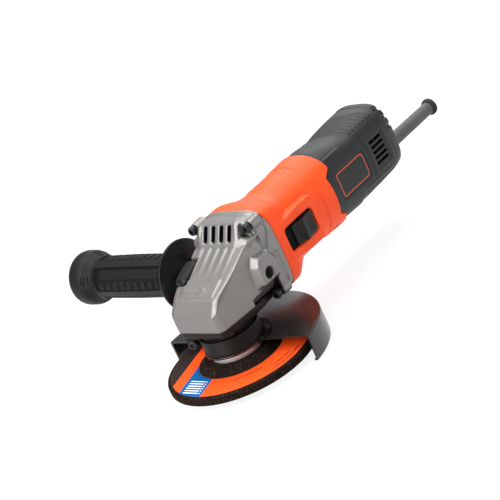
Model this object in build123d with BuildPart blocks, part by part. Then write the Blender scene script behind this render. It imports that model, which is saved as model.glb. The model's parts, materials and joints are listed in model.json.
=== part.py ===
"""Corded 115 mm angle grinder, made piece by piece in millimetres.

+X runs forward from the tail to the gear head, +Y is the user's left and +Z is up along the spindle.
The origin is on the spindle axis, in the plane of the disc's working face.
"""
from build123d import *
from math import atan2, cos, degrees, pi, radians, sin, tan
import os

os.makedirs("parts", exist_ok=True)

# ---------------------------------------------------------------- clearances
RUN = 0.05            # radial clearance of a shaft, stud or pin that moves in its hole
SEAT = 0.02           # gap between pieces that are seated in each other

# ---------------------------------------------------------------- disc and spindle
DISC_R = 57.5         # 115 mm disc
DISC_T = 6.0
DISC_BORE_R = 11.115  # 22.23 mm bore
HUB_RAISE = 4.6       # the disc's depressed centre
HUB_R = 24.0
HUB_T = 5.0
LABEL_R_IN = 31.8
LABEL_R_OUT = 54.3
LABEL_T = 0.3
THREAD_R = 7.0        # M14 spindle thread
SPINDLE_END_Z = 1.6   # the thread's lower end, above the working face
FLANGE_R = 20.0
FLANGE_T = 2.8
NUT_R = 17.0
NUT_T = 4.4
PILOT_T = 1.8         # how far each flange's pilot enters the disc's bore
COLLAR_R = 9.5        # shoulder on the spindle above the inner flange
COLLAR_T = 4.6
MAIN_BEARING = (7.5, 17.5, 11.0)    # 6202 bearing: bore radius, outer radius, width
FRONT_BEARING = (4.0, 11.0, 7.0)    # 608 bearing at the pinion end
REAR_BEARING = (3.5, 9.5, 6.0)      # 607 bearing at the commutator end
GEAR_SEAT_R = 6.0
TOP_JOURNAL_R = 4.0
BUSH_R = 6.0
BUSH_L = 6.0

# ---------------------------------------------------------------- gears
MOTOR_Z = 63.0        # height of the motor axis, where the bevel gears' cones meet
MODULE = 0.9
CROWN_TEETH = 37
PINION_TEETH = 12
FACE_W = 5.2          # length of the teeth along the cone
PINION_BORE_R = 2.5
PINION_NUT_R = 3.8
PINION_NUT_T = 2.4
TOOTH_SHARE = 0.36    # tooth thickness at the pitch line, as a share of the pitch
ADDENDUM = 0.62
DEDENDUM = 0.95
FLANK = 20.0          # degrees
CROWN_RIM_R = 20.6    # the rim outside the teeth, which the lock pin enters
CROWN_RIM_Z = (48.5, 52.0)
LOCK_R = 18.8         # circle of the four lock holes
LOCK_PIN_R = 1.3
LOCK_TRAVEL = 4.5

# ---------------------------------------------------------------- motor
SHAFT_R = 4.0
SHAFT_REAR_R = 3.5
CORE_R = 15.5
AIR_GAP = 0.6
CORE_X = (-108.0, -64.0)
COMMUTATOR_R = 10.0
COMMUTATOR_X = (-134.0, -120.0)
STATOR_R = 26.4
STATOR_FLAT = 22.0    # half-width across the stator's flats
FAN_R = 25.0
FAN_X = (-50.0, -40.0)
FRONT_BEARING_X = -24.0
REAR_BEARING_X = -142.0

# ---------------------------------------------------------------- housings
SEAM_X = -48.0        # gear case to motor housing
TAIL_SEAM_X = -127.0  # motor housing to tail housing
TAIL_END_X = -210.0
HOUSING_R = 31.4
HOUSING_BORE_R = 27.4
TAIL_R = 28.6
TAIL_WALL = 2.4
SEAM_HALF = 32.0      # half-width of the rounded square at the seam
SEAM_CORNER = 13.0
COLLAR_END_X = -62.0  # where the motor housing's square collar ends
CASE_BOTTOM_Z = 40.0
CASE_FRONT_X = 26.0
CASE_HALF = 27.5      # half-width of the gear case over the spindle
CASE_CAVITY_R = 21.4
SCREW_PITCH = 27.2    # the four corner screws, from the motor axis
SCREW_HEAD_X = -32.0
NECK_R = 20.5         # outside of the bearing cover's neck
NECK_END_Z = 17.2
COVER_T = 5.0
HANDLE_X = -27.0      # the side handle's M8 sockets
HANDLE_Z = 56.0
SOCKET_R = 4.0
SOCKET_DEPTH = 15.0
BOSS_FACE_Y = 35.0
BOSS_R = 8.5

# ---------------------------------------------------------------- guard
GUARD_R = 65.5
GUARD_T = 1.6
GUARD_TOP_Z = 16.9
GUARD_BOTTOM_Z = -4.0
GUARD_CUT_X = -2.0    # the straight front edge, from the spindle axis
GUARD_REST = 4.4      # degrees that the guard is set round from square
BAND_T = 2.0
BAND_TOP_Z = 29.0
CLAMP_ANGLE = -63.0   # where the clamp's ears stand

# ---------------------------------------------------------------- side handle
GRIP_R = 16.2
GRIP_END_Y = -164.0
GRIP_FLANGE_Y = -50.7
GRIP_FLANGE_R = 27.1
KNOB_R = 21.5
KNOB_L = 17.0
STUD_R = SOCKET_R
STUD_IN_SOCKET = 13.0

# ---------------------------------------------------------------- switch and cord
SLIDER_X = (-88.0, -64.0)
SLIDER_HALF = 8.0
SWITCH_TRAVEL = 6.0
LINK_Y = 23.4
LINK_T = 1.8
CORD_Z = 48.5
SLEEVE_END_X = -288.0
SLEEVE_R = 5.3
CORD_R = 3.6

names = []            # every finished piece, for the printed count


def keep(piece, name):
    """Label a finished piece and write its file."""
    piece.label = name
    export_step(piece, f"parts/{name}.step")
    names.append(name)
    print(f"{name:24s} {len(piece.solids()):3d} solids {piece.volume / 1000:9.3f} cm3")


def along_x(x, y=0.0, z=MOTOR_Z):
    """A plane at x whose normal is +X, with its own x along +Y and its own y along +Z."""
    return Plane(origin=(x, y, z), x_dir=(0, 1, 0), z_dir=(1, 0, 0))


def along_y(y, x=0.0, z=0.0):
    """A plane at y whose normal is +Y, with its own x along +Z and its own y along +X."""
    return Plane(origin=(x, y, z), x_dir=(0, 0, 1), z_dir=(0, 1, 0))


def tube(name, plane, outer, inner, length):
    """A plain ring or sleeve that grows from a plane along its normal."""
    with BuildPart() as ring:
        with BuildSketch(plane):
            Circle(outer)
            Circle(inner, mode=Mode.SUBTRACT)
        extrude(amount=length)
    keep(ring.part, name)


def ball_bearing(name, plane, size, balls):
    """Outer ring, inner ring and balls of a deep-groove bearing, as three nodes' solids."""
    bore, outer, width = size
    wall = (outer - bore) * 0.27
    middle = (outer + bore) / 2
    ball_r = (outer - bore) / 2 - wall + 0.35
    with BuildPart() as groove:
        with BuildSketch(Plane.XZ):
            with Locations((middle, width / 2)):
                Circle(ball_r + 0.03)
        revolve(axis=Axis.Z)
    with BuildPart() as outer_ring:
        with BuildSketch():
            Circle(outer)
            Circle(outer - wall, mode=Mode.SUBTRACT)
        extrude(amount=width)
        add(groove.part, mode=Mode.SUBTRACT)
    with BuildPart() as inner_ring:
        with BuildSketch():
            Circle(bore + wall)
            Circle(bore, mode=Mode.SUBTRACT)
        extrude(amount=width)
        add(groove.part, mode=Mode.SUBTRACT)
    with BuildPart() as ball_set:
        with BuildSketch(Plane.XZ):
            with Locations((middle, width / 2)):
                Circle(ball_r)
                Rectangle(4 * ball_r, 4 * ball_r, align=(Align.MAX, Align.CENTER), mode=Mode.SUBTRACT)
        revolve(axis=Axis((middle, 0, 0), (0, 0, 1)))
        one_ball = ball_set.part
    with BuildPart() as all_balls:
        with PolarLocations(0, balls):
            add(one_ball)
    keep(plane.location * outer_ring.part, f"{name}_outer_ring")
    keep(plane.location * inner_ring.part, f"{name}_inner_ring")
    keep(plane.location * all_balls.part, f"{name}_balls")


# ================================================================ grinding disc and flanges
hub_top_z = DISC_T + HUB_RAISE
hub_under_z = hub_top_z - HUB_T

with BuildPart() as grinding_disc:
    with BuildSketch(Plane.XZ):
        with BuildLine():
            Polyline(
                (DISC_BORE_R, hub_under_z), (HUB_R, hub_under_z), (HUB_R + HUB_RAISE + 1.0, 0),
                (DISC_R, 0), (DISC_R, DISC_T), (LABEL_R_IN - 0.6, DISC_T), (HUB_R + 1.6, hub_top_z),
                (DISC_BORE_R, hub_top_z), close=True)
        make_face()
    revolve(axis=Axis.Z)
keep(grinding_disc.part, "grinding_disc")

tube("disc_label", Plane.XY.offset(DISC_T), LABEL_R_OUT, LABEL_R_IN, LABEL_T)

flange_top_z = hub_top_z + SEAT + FLANGE_T
with BuildPart() as inner_flange:
    with BuildSketch(Plane.XY.offset(hub_top_z + SEAT)):
        Circle(FLANGE_R)
    extrude(amount=FLANGE_T)
    fillet(inner_flange.edges().group_by(Axis.Z)[-1], 0.8)
    with BuildSketch(Plane.XY.offset(hub_top_z - PILOT_T)):
        Circle(DISC_BORE_R - RUN)
    extrude(amount=PILOT_T + 0.5)
    with Locations((0, 0, hub_top_z)):
        Cylinder(THREAD_R + SEAT, 20, mode=Mode.SUBTRACT)
keep(inner_flange.part, "inner_flange")

nut_z = hub_under_z - SEAT - NUT_T
with BuildPart() as outer_nut:
    with BuildSketch(Plane.XY.offset(nut_z)):
        Circle(NUT_R)
    extrude(amount=NUT_T)
    chamfer(outer_nut.edges().group_by(Axis.Z)[0], 0.8)
    with BuildSketch(Plane.XY.offset(nut_z + NUT_T)):
        Circle(DISC_BORE_R - RUN)
    extrude(amount=PILOT_T)
    with Locations((0, 0, nut_z)):
        Cylinder(THREAD_R + SEAT, 30, mode=Mode.SUBTRACT)
        with PolarLocations(12.0, 2):
            Cylinder(2.2, 5.0, mode=Mode.SUBTRACT)
keep(outer_nut.part, "outer_flange_nut")

# ================================================================ spindle
collar_z = flange_top_z + SEAT
bearing_z = collar_z + COLLAR_T + 4.0
bearing_bore_r, bearing_outer_r, bearing_w = MAIN_BEARING
gear_seat_z = bearing_z + bearing_w
journal_z = 54.4
spindle_top_z = 62.0

with BuildPart() as spindle:
    with BuildSketch(Plane.XZ):
        with BuildLine():
            Polyline(
                (0, SPINDLE_END_Z), (THREAD_R - 1, SPINDLE_END_Z), (THREAD_R, SPINDLE_END_Z + 1),
                (THREAD_R, collar_z), (COLLAR_R, collar_z), (COLLAR_R, bearing_z - 0.02),
                (bearing_bore_r - SEAT, bearing_z - 0.02), (bearing_bore_r - SEAT, gear_seat_z),
                (GEAR_SEAT_R, gear_seat_z), (GEAR_SEAT_R, journal_z), (TOP_JOURNAL_R, journal_z),
                (TOP_JOURNAL_R, spindle_top_z - 0.5), (TOP_JOURNAL_R - 0.5, spindle_top_z),
                (0, spindle_top_z), close=True)
        make_face()
    revolve(axis=Axis.Z)
    with BuildSketch(Plane.XY.offset(SPINDLE_END_Z)):
        RegularPolygon(3.0, 6)
    extrude(amount=3.0, mode=Mode.SUBTRACT)
    with Locations((GEAR_SEAT_R, 0, 42.0)):
        Box(3.2, 3.0 + 2 * SEAT, 8.0 + 2 * SEAT, mode=Mode.SUBTRACT)
keep(spindle.part, "spindle")

with BuildPart() as spindle_key:
    with Locations((GEAR_SEAT_R - 0.2, 0, 42.0)):
        Box(2.7, 3.0, 8.0)
keep(spindle_key.part, "spindle_key")

ball_bearing("spindle_bearing", Plane.XY.offset(bearing_z), MAIN_BEARING, 9)

# ================================================================ bevel gears
crown_cone = degrees(atan2(CROWN_TEETH, PINION_TEETH))
pinion_cone = 90.0 - crown_cone
crown_pitch_r = MODULE * CROWN_TEETH / 2
cone_length = crown_pitch_r / sin(radians(crown_cone))
inner_scale = (cone_length - FACE_W) / cone_length
tooth_w = TOOTH_SHARE * pi * MODULE


def bevel_tooth(along, outward):
    """One straight bevel tooth that tapers towards the point where the two axes meet."""
    side = Vector(along).cross(Vector(outward))
    ends = []
    for scale in (1.0, inner_scale):
        place = Vector(0, 0, MOTOR_Z) + Vector(along) * (cone_length * scale)
        section = Plane(origin=place, x_dir=side, z_dir=Vector(along))
        lift = 1 if section.y_dir.dot(Vector(outward)) > 0 else -1
        root_w = (tooth_w / 2 + DEDENDUM * tan(radians(FLANK))) * scale
        tip_w = (tooth_w / 2 - ADDENDUM * tan(radians(FLANK))) * scale
        with BuildSketch(section) as outline:
            with BuildLine():
                Polyline(
                    (-root_w, -lift * DEDENDUM * scale), (root_w, -lift * DEDENDUM * scale),
                    (tip_w, lift * ADDENDUM * scale), (-tip_w, lift * ADDENDUM * scale), close=True)
            make_face()
        ends.append(outline.sketch.faces()[0])
    with BuildPart() as tooth:
        loft(ends, ruled=True)
    return tooth.part


def cone_point(angle, scale, drop):
    """Radius and distance from the cones' meeting point of a spot that lies under the pitch cone."""
    reach = cone_length * scale
    radius = reach * sin(radians(angle)) - drop * scale * cos(radians(angle))
    depth = reach * cos(radians(angle)) + drop * scale * sin(radians(angle))
    return radius, depth


root_drop = DEDENDUM - 0.12
past_teeth = 0.025               # how far a gear's body reaches past the ends of its teeth
crown_out = cone_point(crown_cone, 1.0 + past_teeth, root_drop)
crown_in = cone_point(crown_cone, inner_scale - past_teeth, root_drop)
rim_low_z, rim_high_z = CROWN_RIM_Z
gear_hub_z = gear_seat_z + 2.4
crown_web_z = rim_high_z + 1.8

with BuildPart() as crown_gear:
    with BuildSketch(Plane.XZ):
        with BuildLine():
            Polyline(
                (GEAR_SEAT_R + SEAT, gear_hub_z), (GEAR_SEAT_R + 4, gear_hub_z),
                (GEAR_SEAT_R + 4, rim_low_z - 2), (CROWN_RIM_R - 4, rim_low_z), (CROWN_RIM_R, rim_low_z),
                (CROWN_RIM_R, rim_high_z), (crown_out[0] + 0.2, rim_high_z),
                (crown_out[0], MOTOR_Z - crown_out[1]), (crown_in[0], MOTOR_Z - crown_in[1]),
                (crown_in[0] - 0.5, crown_web_z), (GEAR_SEAT_R + SEAT, crown_web_z), close=True)
        make_face()
    revolve(axis=Axis.Z)
    crown_slope = (-sin(radians(crown_cone)), 0, -cos(radians(crown_cone)))
    crown_up = (-cos(radians(crown_cone)), 0, sin(radians(crown_cone)))
    crown_tooth = bevel_tooth(crown_slope, crown_up)
    with PolarLocations(0, CROWN_TEETH, start_angle=180 / CROWN_TEETH):
        add(crown_tooth)
    with Locations((0, 0, (rim_low_z + rim_high_z) / 2)):
        with PolarLocations(LOCK_R, 4):
            Cylinder(LOCK_PIN_R + 0.35, rim_high_z - rim_low_z + 2, mode=Mode.SUBTRACT)
    with Locations((GEAR_SEAT_R, 0, 42.0)):
        Box(2.6 + 2 * SEAT, 3.0 + 2 * SEAT, 20.0, mode=Mode.SUBTRACT)
keep(crown_gear.part, "crown_gear")

tube("gear_spacer", Plane.XY.offset(gear_seat_z + SEAT), GEAR_SEAT_R + 3.2, GEAR_SEAT_R + SEAT,
     gear_hub_z - gear_seat_z - 2 * SEAT)

motor_axis = Axis((0, 0, MOTOR_Z), (1, 0, 0))
pinion_out = cone_point(pinion_cone, 1.0 + past_teeth, root_drop)
pinion_in = cone_point(pinion_cone, inner_scale - past_teeth, root_drop)
pinion_nut_x = -pinion_in[1] + 0.3

with BuildPart() as pinion:
    with BuildSketch(Plane.XZ):
        with BuildLine():
            Polyline(
                (pinion_nut_x - SEAT, MOTOR_Z + PINION_BORE_R), (pinion_nut_x - SEAT, MOTOR_Z + pinion_in[0]),
                (-pinion_in[1], MOTOR_Z + pinion_in[0]),
                (-pinion_out[1], MOTOR_Z + pinion_out[0]), (-pinion_out[1] - 0.1, MOTOR_Z + 5.6),
                (FRONT_BEARING_X + 0.5, MOTOR_Z + 5.6), (FRONT_BEARING_X + 0.5, MOTOR_Z + PINION_BORE_R),
                close=True)
        make_face()
    revolve(axis=motor_axis)
    pinion_slope = (-cos(radians(pinion_cone)), 0, -sin(radians(pinion_cone)))
    pinion_down = (sin(radians(pinion_cone)), 0, -cos(radians(pinion_cone)))
    pinion_tooth = bevel_tooth(pinion_slope, pinion_down)
    turns = [index * 360 / PINION_TEETH for index in range(PINION_TEETH)]
    add([pinion_tooth.rotate(motor_axis, turn) for turn in turns])
    with Locations(Location((-16, 0, MOTOR_Z), (0, 90, 0))):
        Cylinder(PINION_BORE_R, 30, mode=Mode.SUBTRACT)
keep(pinion.part, "pinion")

with BuildPart() as pinion_nut:
    with BuildSketch(along_x(pinion_nut_x)):
        RegularPolygon(PINION_NUT_R, 6)
        Circle(PINION_BORE_R, mode=Mode.SUBTRACT)
    extrude(amount=PINION_NUT_T)
keep(pinion_nut.part, "pinion_nut")

# ================================================================ gear case
case_top = (18.0, 62.0)          # x and z of the top's front edge
case_brow = (-21.5, 81.0)        # where the top meets the vent panel
case_crest = (-31.5, 95.2)       # where the vent panel meets the flange
flange_x = -33.0
fan_bay_x = -36.0
fan_bay_r = FAN_R + 1.6
crown_bay_top = MOTOR_Z - crown_out[1] + 2.3
bush_z = 55.9
bush_boss_r = BUSH_R + 1.2
pocket_floor_z = 61.8
button_box = (-14.0, 5.0, -24.0, -15.5)     # lowest and highest x, lowest and highest y


def box_between(low, high, mode=Mode.ADD):
    """A box from its lowest corner to its highest corner."""
    middle = tuple((a + b) / 2 for a, b in zip(low, high))
    size = [abs(b - a) for a, b in zip(low, high)]
    with Locations(middle):
        Box(*size, mode=mode)


def both_sides(edge):
    """An outline from its +Y half: the same points again on the -Y side, in reverse."""
    return edge + [(x, -y) for x, y in reversed(edge)]


corner_spots = [(y * SCREW_PITCH, z * SCREW_PITCH) for y in (-1, 1) for z in (-1, 1)]

with BuildPart() as case_plan:
    with BuildSketch(Plane.XY.offset(CASE_BOTTOM_Z)):
        with BuildLine():
            Polyline(
                *both_sides([
                    (flange_x, 31.0), (-24.0, 30.0), (-4.0, CASE_HALF), (13.0, CASE_HALF - 2.2),
                    (CASE_FRONT_X - 3.0, CASE_HALF - 4.0), (CASE_FRONT_X, CASE_HALF - 6.9)]), close=True)
        make_face()
    extrude(amount=70)

with BuildPart() as case_section:
    with BuildSketch(along_x(flange_x)):
        with BuildLine():
            Polyline(
                (-31, -30), (31, -30), (31, 10), (26, 17.5), (19.5, 19.5), (19.5, 33), (-19.5, 33),
                (-19.5, 19.5), (-26, 17.5), (-31, 10), close=True)
        make_face()
    extrude(amount=70)

with BuildPart() as gear_case:
    with BuildSketch(Plane.XZ.offset(-40)):
        with BuildLine():
            Polyline(
                (flange_x - 1, CASE_BOTTOM_Z), (CASE_FRONT_X, CASE_BOTTOM_Z), (CASE_FRONT_X, 53.0),
                case_top, case_brow, case_crest, (flange_x - 1, case_crest[1]), close=True)
        make_face()
    extrude(amount=80)
    add(case_plan.part, mode=Mode.INTERSECT)
    add(case_section.part, mode=Mode.INTERSECT)
    with BuildSketch(along_x(SEAM_X + 0.1)):
        RectangleRounded(2 * SEAM_HALF, 2 * SEAM_HALF, SEAM_CORNER)
    extrude(amount=flange_x - SEAM_X - 0.1)
    for side in (-1, 1):
        with BuildSketch(along_y(side * 18, HANDLE_X, HANDLE_Z)):
            Circle(BOSS_R)
        extrude(amount=side * (BOSS_FACE_Y - 18))
    for side, radius in ((-1, SOCKET_R + RUN), (1, SOCKET_R)):
        with BuildSketch(along_y(side * BOSS_FACE_Y, HANDLE_X, HANDLE_Z)):
            Circle(radius)
        extrude(amount=-side * SOCKET_DEPTH, mode=Mode.SUBTRACT)
    # the bay of the crown gear, and the boss over it that holds the spindle's top bush
    with BuildSketch(Plane.XZ):
        with BuildLine():
            Polyline(
                (0, CASE_BOTTOM_Z - 1), (CASE_CAVITY_R, CASE_BOTTOM_Z - 1),
                (CASE_CAVITY_R, rim_high_z + 0.8), (crown_out[0] + 1.4, rim_high_z + 0.8),
                (crown_out[0] + 1.4, crown_bay_top), (crown_in[0] + 1.4, crown_bay_top + 2.2),
                (bush_boss_r, crown_bay_top + 2.2), (bush_boss_r, bush_z), (0, bush_z), close=True)
        make_face()
    revolve(axis=Axis.Z, mode=Mode.SUBTRACT)
    with BuildSketch(Plane.XY.offset(bush_z - 0.1)):
        Circle(BUSH_R + SEAT)
    extrude(amount=BUSH_L + 1.1, mode=Mode.SUBTRACT)
    # the pinion's passage, the front bearing's seat and the fan's bay
    with BuildSketch(along_x(-bush_boss_r - 0.4)):
        Circle(7.4)
    extrude(amount=FRONT_BEARING_X + bush_boss_r + 0.4, mode=Mode.SUBTRACT)
    with BuildSketch(along_x(SEAM_X - 1)):
        Circle(FRONT_BEARING[1] + SEAT)
    extrude(amount=FRONT_BEARING_X - SEAM_X + 1, mode=Mode.SUBTRACT)
    with BuildSketch(along_x(SEAM_X - 1)):
        Circle(20.0)
    extrude(amount=FRONT_BEARING_X - FRONT_BEARING[2] - SEAM_X + 1, mode=Mode.SUBTRACT)
    with BuildSketch(along_x(SEAM_X - 1)):
        Circle(fan_bay_r)
    extrude(amount=fan_bay_x - SEAM_X + 1, mode=Mode.SUBTRACT)
    # four exhaust slots through the vent panel
    for index in range(4):
        slot_y = (index - 1.5) * 8.0
        box_between((fan_bay_x - 1, slot_y - 1.5, 83.6), (-18, slot_y + 1.5, 93.4), Mode.SUBTRACT)
    # the lock button's pocket and its pin's hole
    low_x, high_x, low_y, high_y = button_box
    box_between((low_x - 0.3, low_y - 8, pocket_floor_z), (high_x + 0.3, high_y + 0.3, 90), Mode.SUBTRACT)
    with Locations((0, -LOCK_R, 60)):
        Cylinder(LOCK_PIN_R + RUN, 30, mode=Mode.SUBTRACT)
    # corner screws
    with BuildSketch(along_x(SEAM_X - 1)):
        with Locations(corner_spots):
            Circle(2.1)
    extrude(amount=30, mode=Mode.SUBTRACT)
    with BuildSketch(along_x(SCREW_HEAD_X)):
        with Locations(corner_spots):
            Circle(4.4)
    extrude(amount=40, mode=Mode.SUBTRACT)
# the cover's screws stand clear of its neck, two behind and two in front of it
cover_screw_spots = [
    (reach * cos(radians(turn)), reach * sin(radians(turn)))
    for reach, turn in (
        (NECK_R + 10.7, 148.1), (NECK_R + 10.7, -148.1), (NECK_R + 4.4, 48.3), (NECK_R + 4.4, -48.3))]
with BuildPart() as case_with_holes:
    add(gear_case.part)
    with BuildSketch(Plane.XY.offset(CASE_BOTTOM_Z)):
        with Locations(cover_screw_spots):
            Circle(1.6)
    extrude(amount=9, mode=Mode.SUBTRACT)
keep(case_with_holes.part, "gear_case")

# the screws that hold the gear case to the motor housing
with BuildPart() as case_screws:
    with BuildSketch(along_x(SCREW_HEAD_X + SEAT)):
        with Locations(corner_spots):
            Circle(3.7)
    extrude(amount=3.2)
    with BuildSketch(along_x(SCREW_HEAD_X + 3.2 + SEAT)):
        with Locations(corner_spots):
            RegularPolygon(1.7, 6)
    extrude(amount=-1.8, mode=Mode.SUBTRACT)
    with BuildSketch(along_x(SCREW_HEAD_X + 0.1)):
        with Locations(corner_spots):
            Circle(2.0)
    extrude(amount=-25)
keep(case_screws.part, "gear_case_screws")

tube("spindle_top_bush", Plane.XY.offset(bush_z), BUSH_R, TOP_JOURNAL_R + RUN, BUSH_L)

# ================================================================ bearing cover and its seal
cover_z = CASE_BOTTOM_Z - SEAT
with BuildPart() as bearing_cover:
    with BuildSketch(Plane.XY.offset(cover_z)):
        with BuildLine():
            Polyline(
                *both_sides([
                    (flange_x + 0.2, 25.0), (-22.0, 26.5), (-4.0, CASE_HALF - 0.8), (13.0, CASE_HALF - 3.0),
                    (CASE_FRONT_X - 3.6, CASE_HALF - 4.8), (CASE_FRONT_X - 1.2, CASE_HALF - 7.4)]), close=True)
        make_face()
    extrude(amount=-COVER_T)
    with BuildSketch(Plane.XY.offset(NECK_END_Z)):
        Circle(NECK_R)
    extrude(amount=cover_z - NECK_END_Z)
    with BuildSketch(Plane.XY.offset(bearing_z)):
        Circle(bearing_outer_r + SEAT)
    extrude(amount=30, mode=Mode.SUBTRACT)
    with Locations((0, 0, NECK_END_Z)):
        Cylinder(COLLAR_R + 1.0, 30, mode=Mode.SUBTRACT)
    with BuildSketch(Plane.XY.offset(cover_z - COVER_T - 1)):
        with Locations(cover_screw_spots):
            Circle(2.2)
    extrude(amount=COVER_T + 2, mode=Mode.SUBTRACT)
    with BuildSketch(along_x(flange_x - 1)):
        with Locations(corner_spots):
            Circle(4.6)
    extrude(amount=12, mode=Mode.SUBTRACT)
keep(bearing_cover.part, "bearing_cover")

with BuildPart() as cover_screws:
    with BuildSketch(Plane.XY.offset(cover_z - COVER_T - SEAT)):
        with Locations(cover_screw_spots):
            Circle(3.4)
    extrude(amount=-2.4)
    with BuildSketch(Plane.XY.offset(cover_z - COVER_T - SEAT - 2.4)):
        with Locations(cover_screw_spots):
            RegularPolygon(1.5, 6)
    extrude(amount=1.4, mode=Mode.SUBTRACT)
    with BuildSketch(Plane.XY.offset(cover_z - COVER_T - 0.1)):
        with Locations(cover_screw_spots):
            Circle(1.55)
    extrude(amount=COVER_T + 8)
keep(cover_screws.part, "bearing_cover_screws")

tube("bearing_retainer", Plane.XY.offset(gear_seat_z + SEAT), bearing_outer_r, bearing_outer_r - 3.6, 2.6)
tube("spindle_seal", Plane.XY.offset(bearing_z - 2.2), COLLAR_R + 0.96, COLLAR_R + 0.08, 2.2)

# ================================================================ motor bearings and armature
front_bearing_low_x = FRONT_BEARING_X - FRONT_BEARING[2]
ball_bearing("front_bearing", along_x(front_bearing_low_x), FRONT_BEARING, 7)
rear_bearing_low_x = REAR_BEARING_X - REAR_BEARING[2]
ball_bearing("rear_bearing", along_x(rear_bearing_low_x), REAR_BEARING, 7)

plate_screw_spots = [(15.0 * cos(radians(a)), 15.0 * sin(radians(a))) for a in (90, 210, 330)]
plate_x = front_bearing_low_x - SEAT
with BuildPart() as bearing_plate:
    with BuildSketch(along_x(plate_x)):
        Circle(19.9)
        Circle(8.6, mode=Mode.SUBTRACT)
        with Locations(plate_screw_spots):
            Circle(1.7, mode=Mode.SUBTRACT)
    extrude(amount=-3.0)
keep(bearing_plate.part, "bearing_plate")

with BuildPart() as plate_screws:
    with BuildSketch(along_x(plate_x - 3.0 - SEAT)):
        with Locations(plate_screw_spots):
            Circle(2.9)
    extrude(amount=-1.8)
    with BuildSketch(along_x(plate_x - 3.1)):
        with Locations(plate_screw_spots):
            Circle(1.6)
    extrude(amount=3.1)
keep(plate_screws.part, "bearing_plate_screws")

shaft_front_x = pinion_nut_x + PINION_NUT_T
nose_r = PINION_BORE_R - SEAT
with BuildPart() as armature_shaft:
    with BuildSketch(Plane.XZ):
        with BuildLine():
            Polyline(
                (shaft_front_x, MOTOR_Z), (shaft_front_x, MOTOR_Z + nose_r - 0.4),
                (shaft_front_x - 0.4, MOTOR_Z + nose_r), (FRONT_BEARING_X + 0.4, MOTOR_Z + nose_r),
                (FRONT_BEARING_X + 0.4, MOTOR_Z + SHAFT_R - SEAT), (REAR_BEARING_X, MOTOR_Z + SHAFT_R - SEAT),
                (REAR_BEARING_X, MOTOR_Z + SHAFT_REAR_R - SEAT),
                (rear_bearing_low_x - 0.6, MOTOR_Z + SHAFT_REAR_R - SEAT), (rear_bearing_low_x - 0.6, MOTOR_Z),
                close=True)
        make_face()
    revolve(axis=motor_axis)
keep(armature_shaft.part, "armature_shaft")

core_low_x, core_high_x = CORE_X
core_length = core_high_x - core_low_x
with BuildPart() as armature_core:
    with BuildSketch(along_x(core_low_x)):
        Circle(CORE_R)
        Circle(SHAFT_R, mode=Mode.SUBTRACT)
        with PolarLocations(CORE_R - 2.6, 12):
            Rectangle(6.4, 2.6, mode=Mode.SUBTRACT)
    extrude(amount=core_length)
keep(armature_core.part, "armature_core")

with BuildPart() as armature_windings:
    with BuildSketch(along_x(core_low_x - 7)):
        with PolarLocations(CORE_R - 3.1, 12):
            Rectangle(5.2, 2.2)
    extrude(amount=core_length + 14)
    for low in (core_low_x - 7, core_high_x + SEAT):
        with BuildSketch(along_x(low)):
            Circle(CORE_R - 1.2)
            Circle(SHAFT_R + SEAT, mode=Mode.SUBTRACT)
        extrude(amount=7 - SEAT)
keep(armature_windings.part, "armature_windings")

commutator_low_x, commutator_high_x = COMMUTATOR_X
with BuildPart() as commutator:
    with BuildSketch(along_x(commutator_low_x)):
        Circle(COMMUTATOR_R)
        Circle(SHAFT_R, mode=Mode.SUBTRACT)
        with PolarLocations(COMMUTATOR_R, 24):
            Rectangle(1.6, 0.5, mode=Mode.SUBTRACT)
    extrude(amount=commutator_high_x - commutator_low_x)
    with BuildSketch(along_x(commutator_high_x)):
        Circle(COMMUTATOR_R + 1.4)
        Circle(SHAFT_R, mode=Mode.SUBTRACT)
    extrude(amount=core_low_x - 7 - commutator_high_x - SEAT)
keep(commutator.part, "commutator")

fan_low_x, fan_high_x = FAN_X
with BuildPart() as fan:
    with BuildSketch(along_x(fan_low_x)):
        Circle(FAN_R)
        Circle(SHAFT_R, mode=Mode.SUBTRACT)
    extrude(amount=1.6)
    with BuildSketch(along_x(fan_low_x)):
        Circle(8.0)
        Circle(SHAFT_R, mode=Mode.SUBTRACT)
    extrude(amount=fan_high_x - fan_low_x)
    with BuildSketch(along_x(fan_low_x + 1.2)):
        with PolarLocations(16.2, 15):
            Rectangle(16.8, 1.3, rotation=14)
    extrude(amount=fan_high_x - fan_low_x - 2.4)
keep(fan.part, "fan")

# ================================================================ stator
with BuildPart() as stator_core:
    with BuildSketch(along_x(core_low_x)):
        Circle(STATOR_R)
        Rectangle(2 * STATOR_FLAT, 90, mode=Mode.INTERSECT)
        Circle(CORE_R + AIR_GAP, mode=Mode.SUBTRACT)
        with Locations((18.4, 0), (-18.4, 0)):
            Rectangle(7.0, 11.0, mode=Mode.SUBTRACT)
    extrude(amount=core_length)
keep(stator_core.part, "stator_core")

with BuildPart() as field_coils:
    for low in (core_low_x - 6.5, core_high_x + SEAT):
        with BuildSketch(along_x(low)):
            Circle(STATOR_R - 1.6)
            Rectangle(2 * STATOR_FLAT - 3, 90, mode=Mode.INTERSECT)
            Circle(CORE_R + 1.6, mode=Mode.SUBTRACT)
        extrude(amount=6.5 - SEAT)
    with BuildSketch(along_x(core_low_x - 1)):
        with Locations((18.4, 0), (-18.4, 0)):
            Rectangle(6.6, 10.6)
    extrude(amount=core_length + 2)
    with BuildSketch(along_x(core_low_x - 8)):
        Circle(CORE_R + AIR_GAP)
    extrude(amount=core_length + 16, mode=Mode.SUBTRACT)
keep(field_coils.part, "field_coils")

tube("air_baffle", along_x(-54.4), HOUSING_BORE_R - SEAT, 17.5, 2.0)

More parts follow.
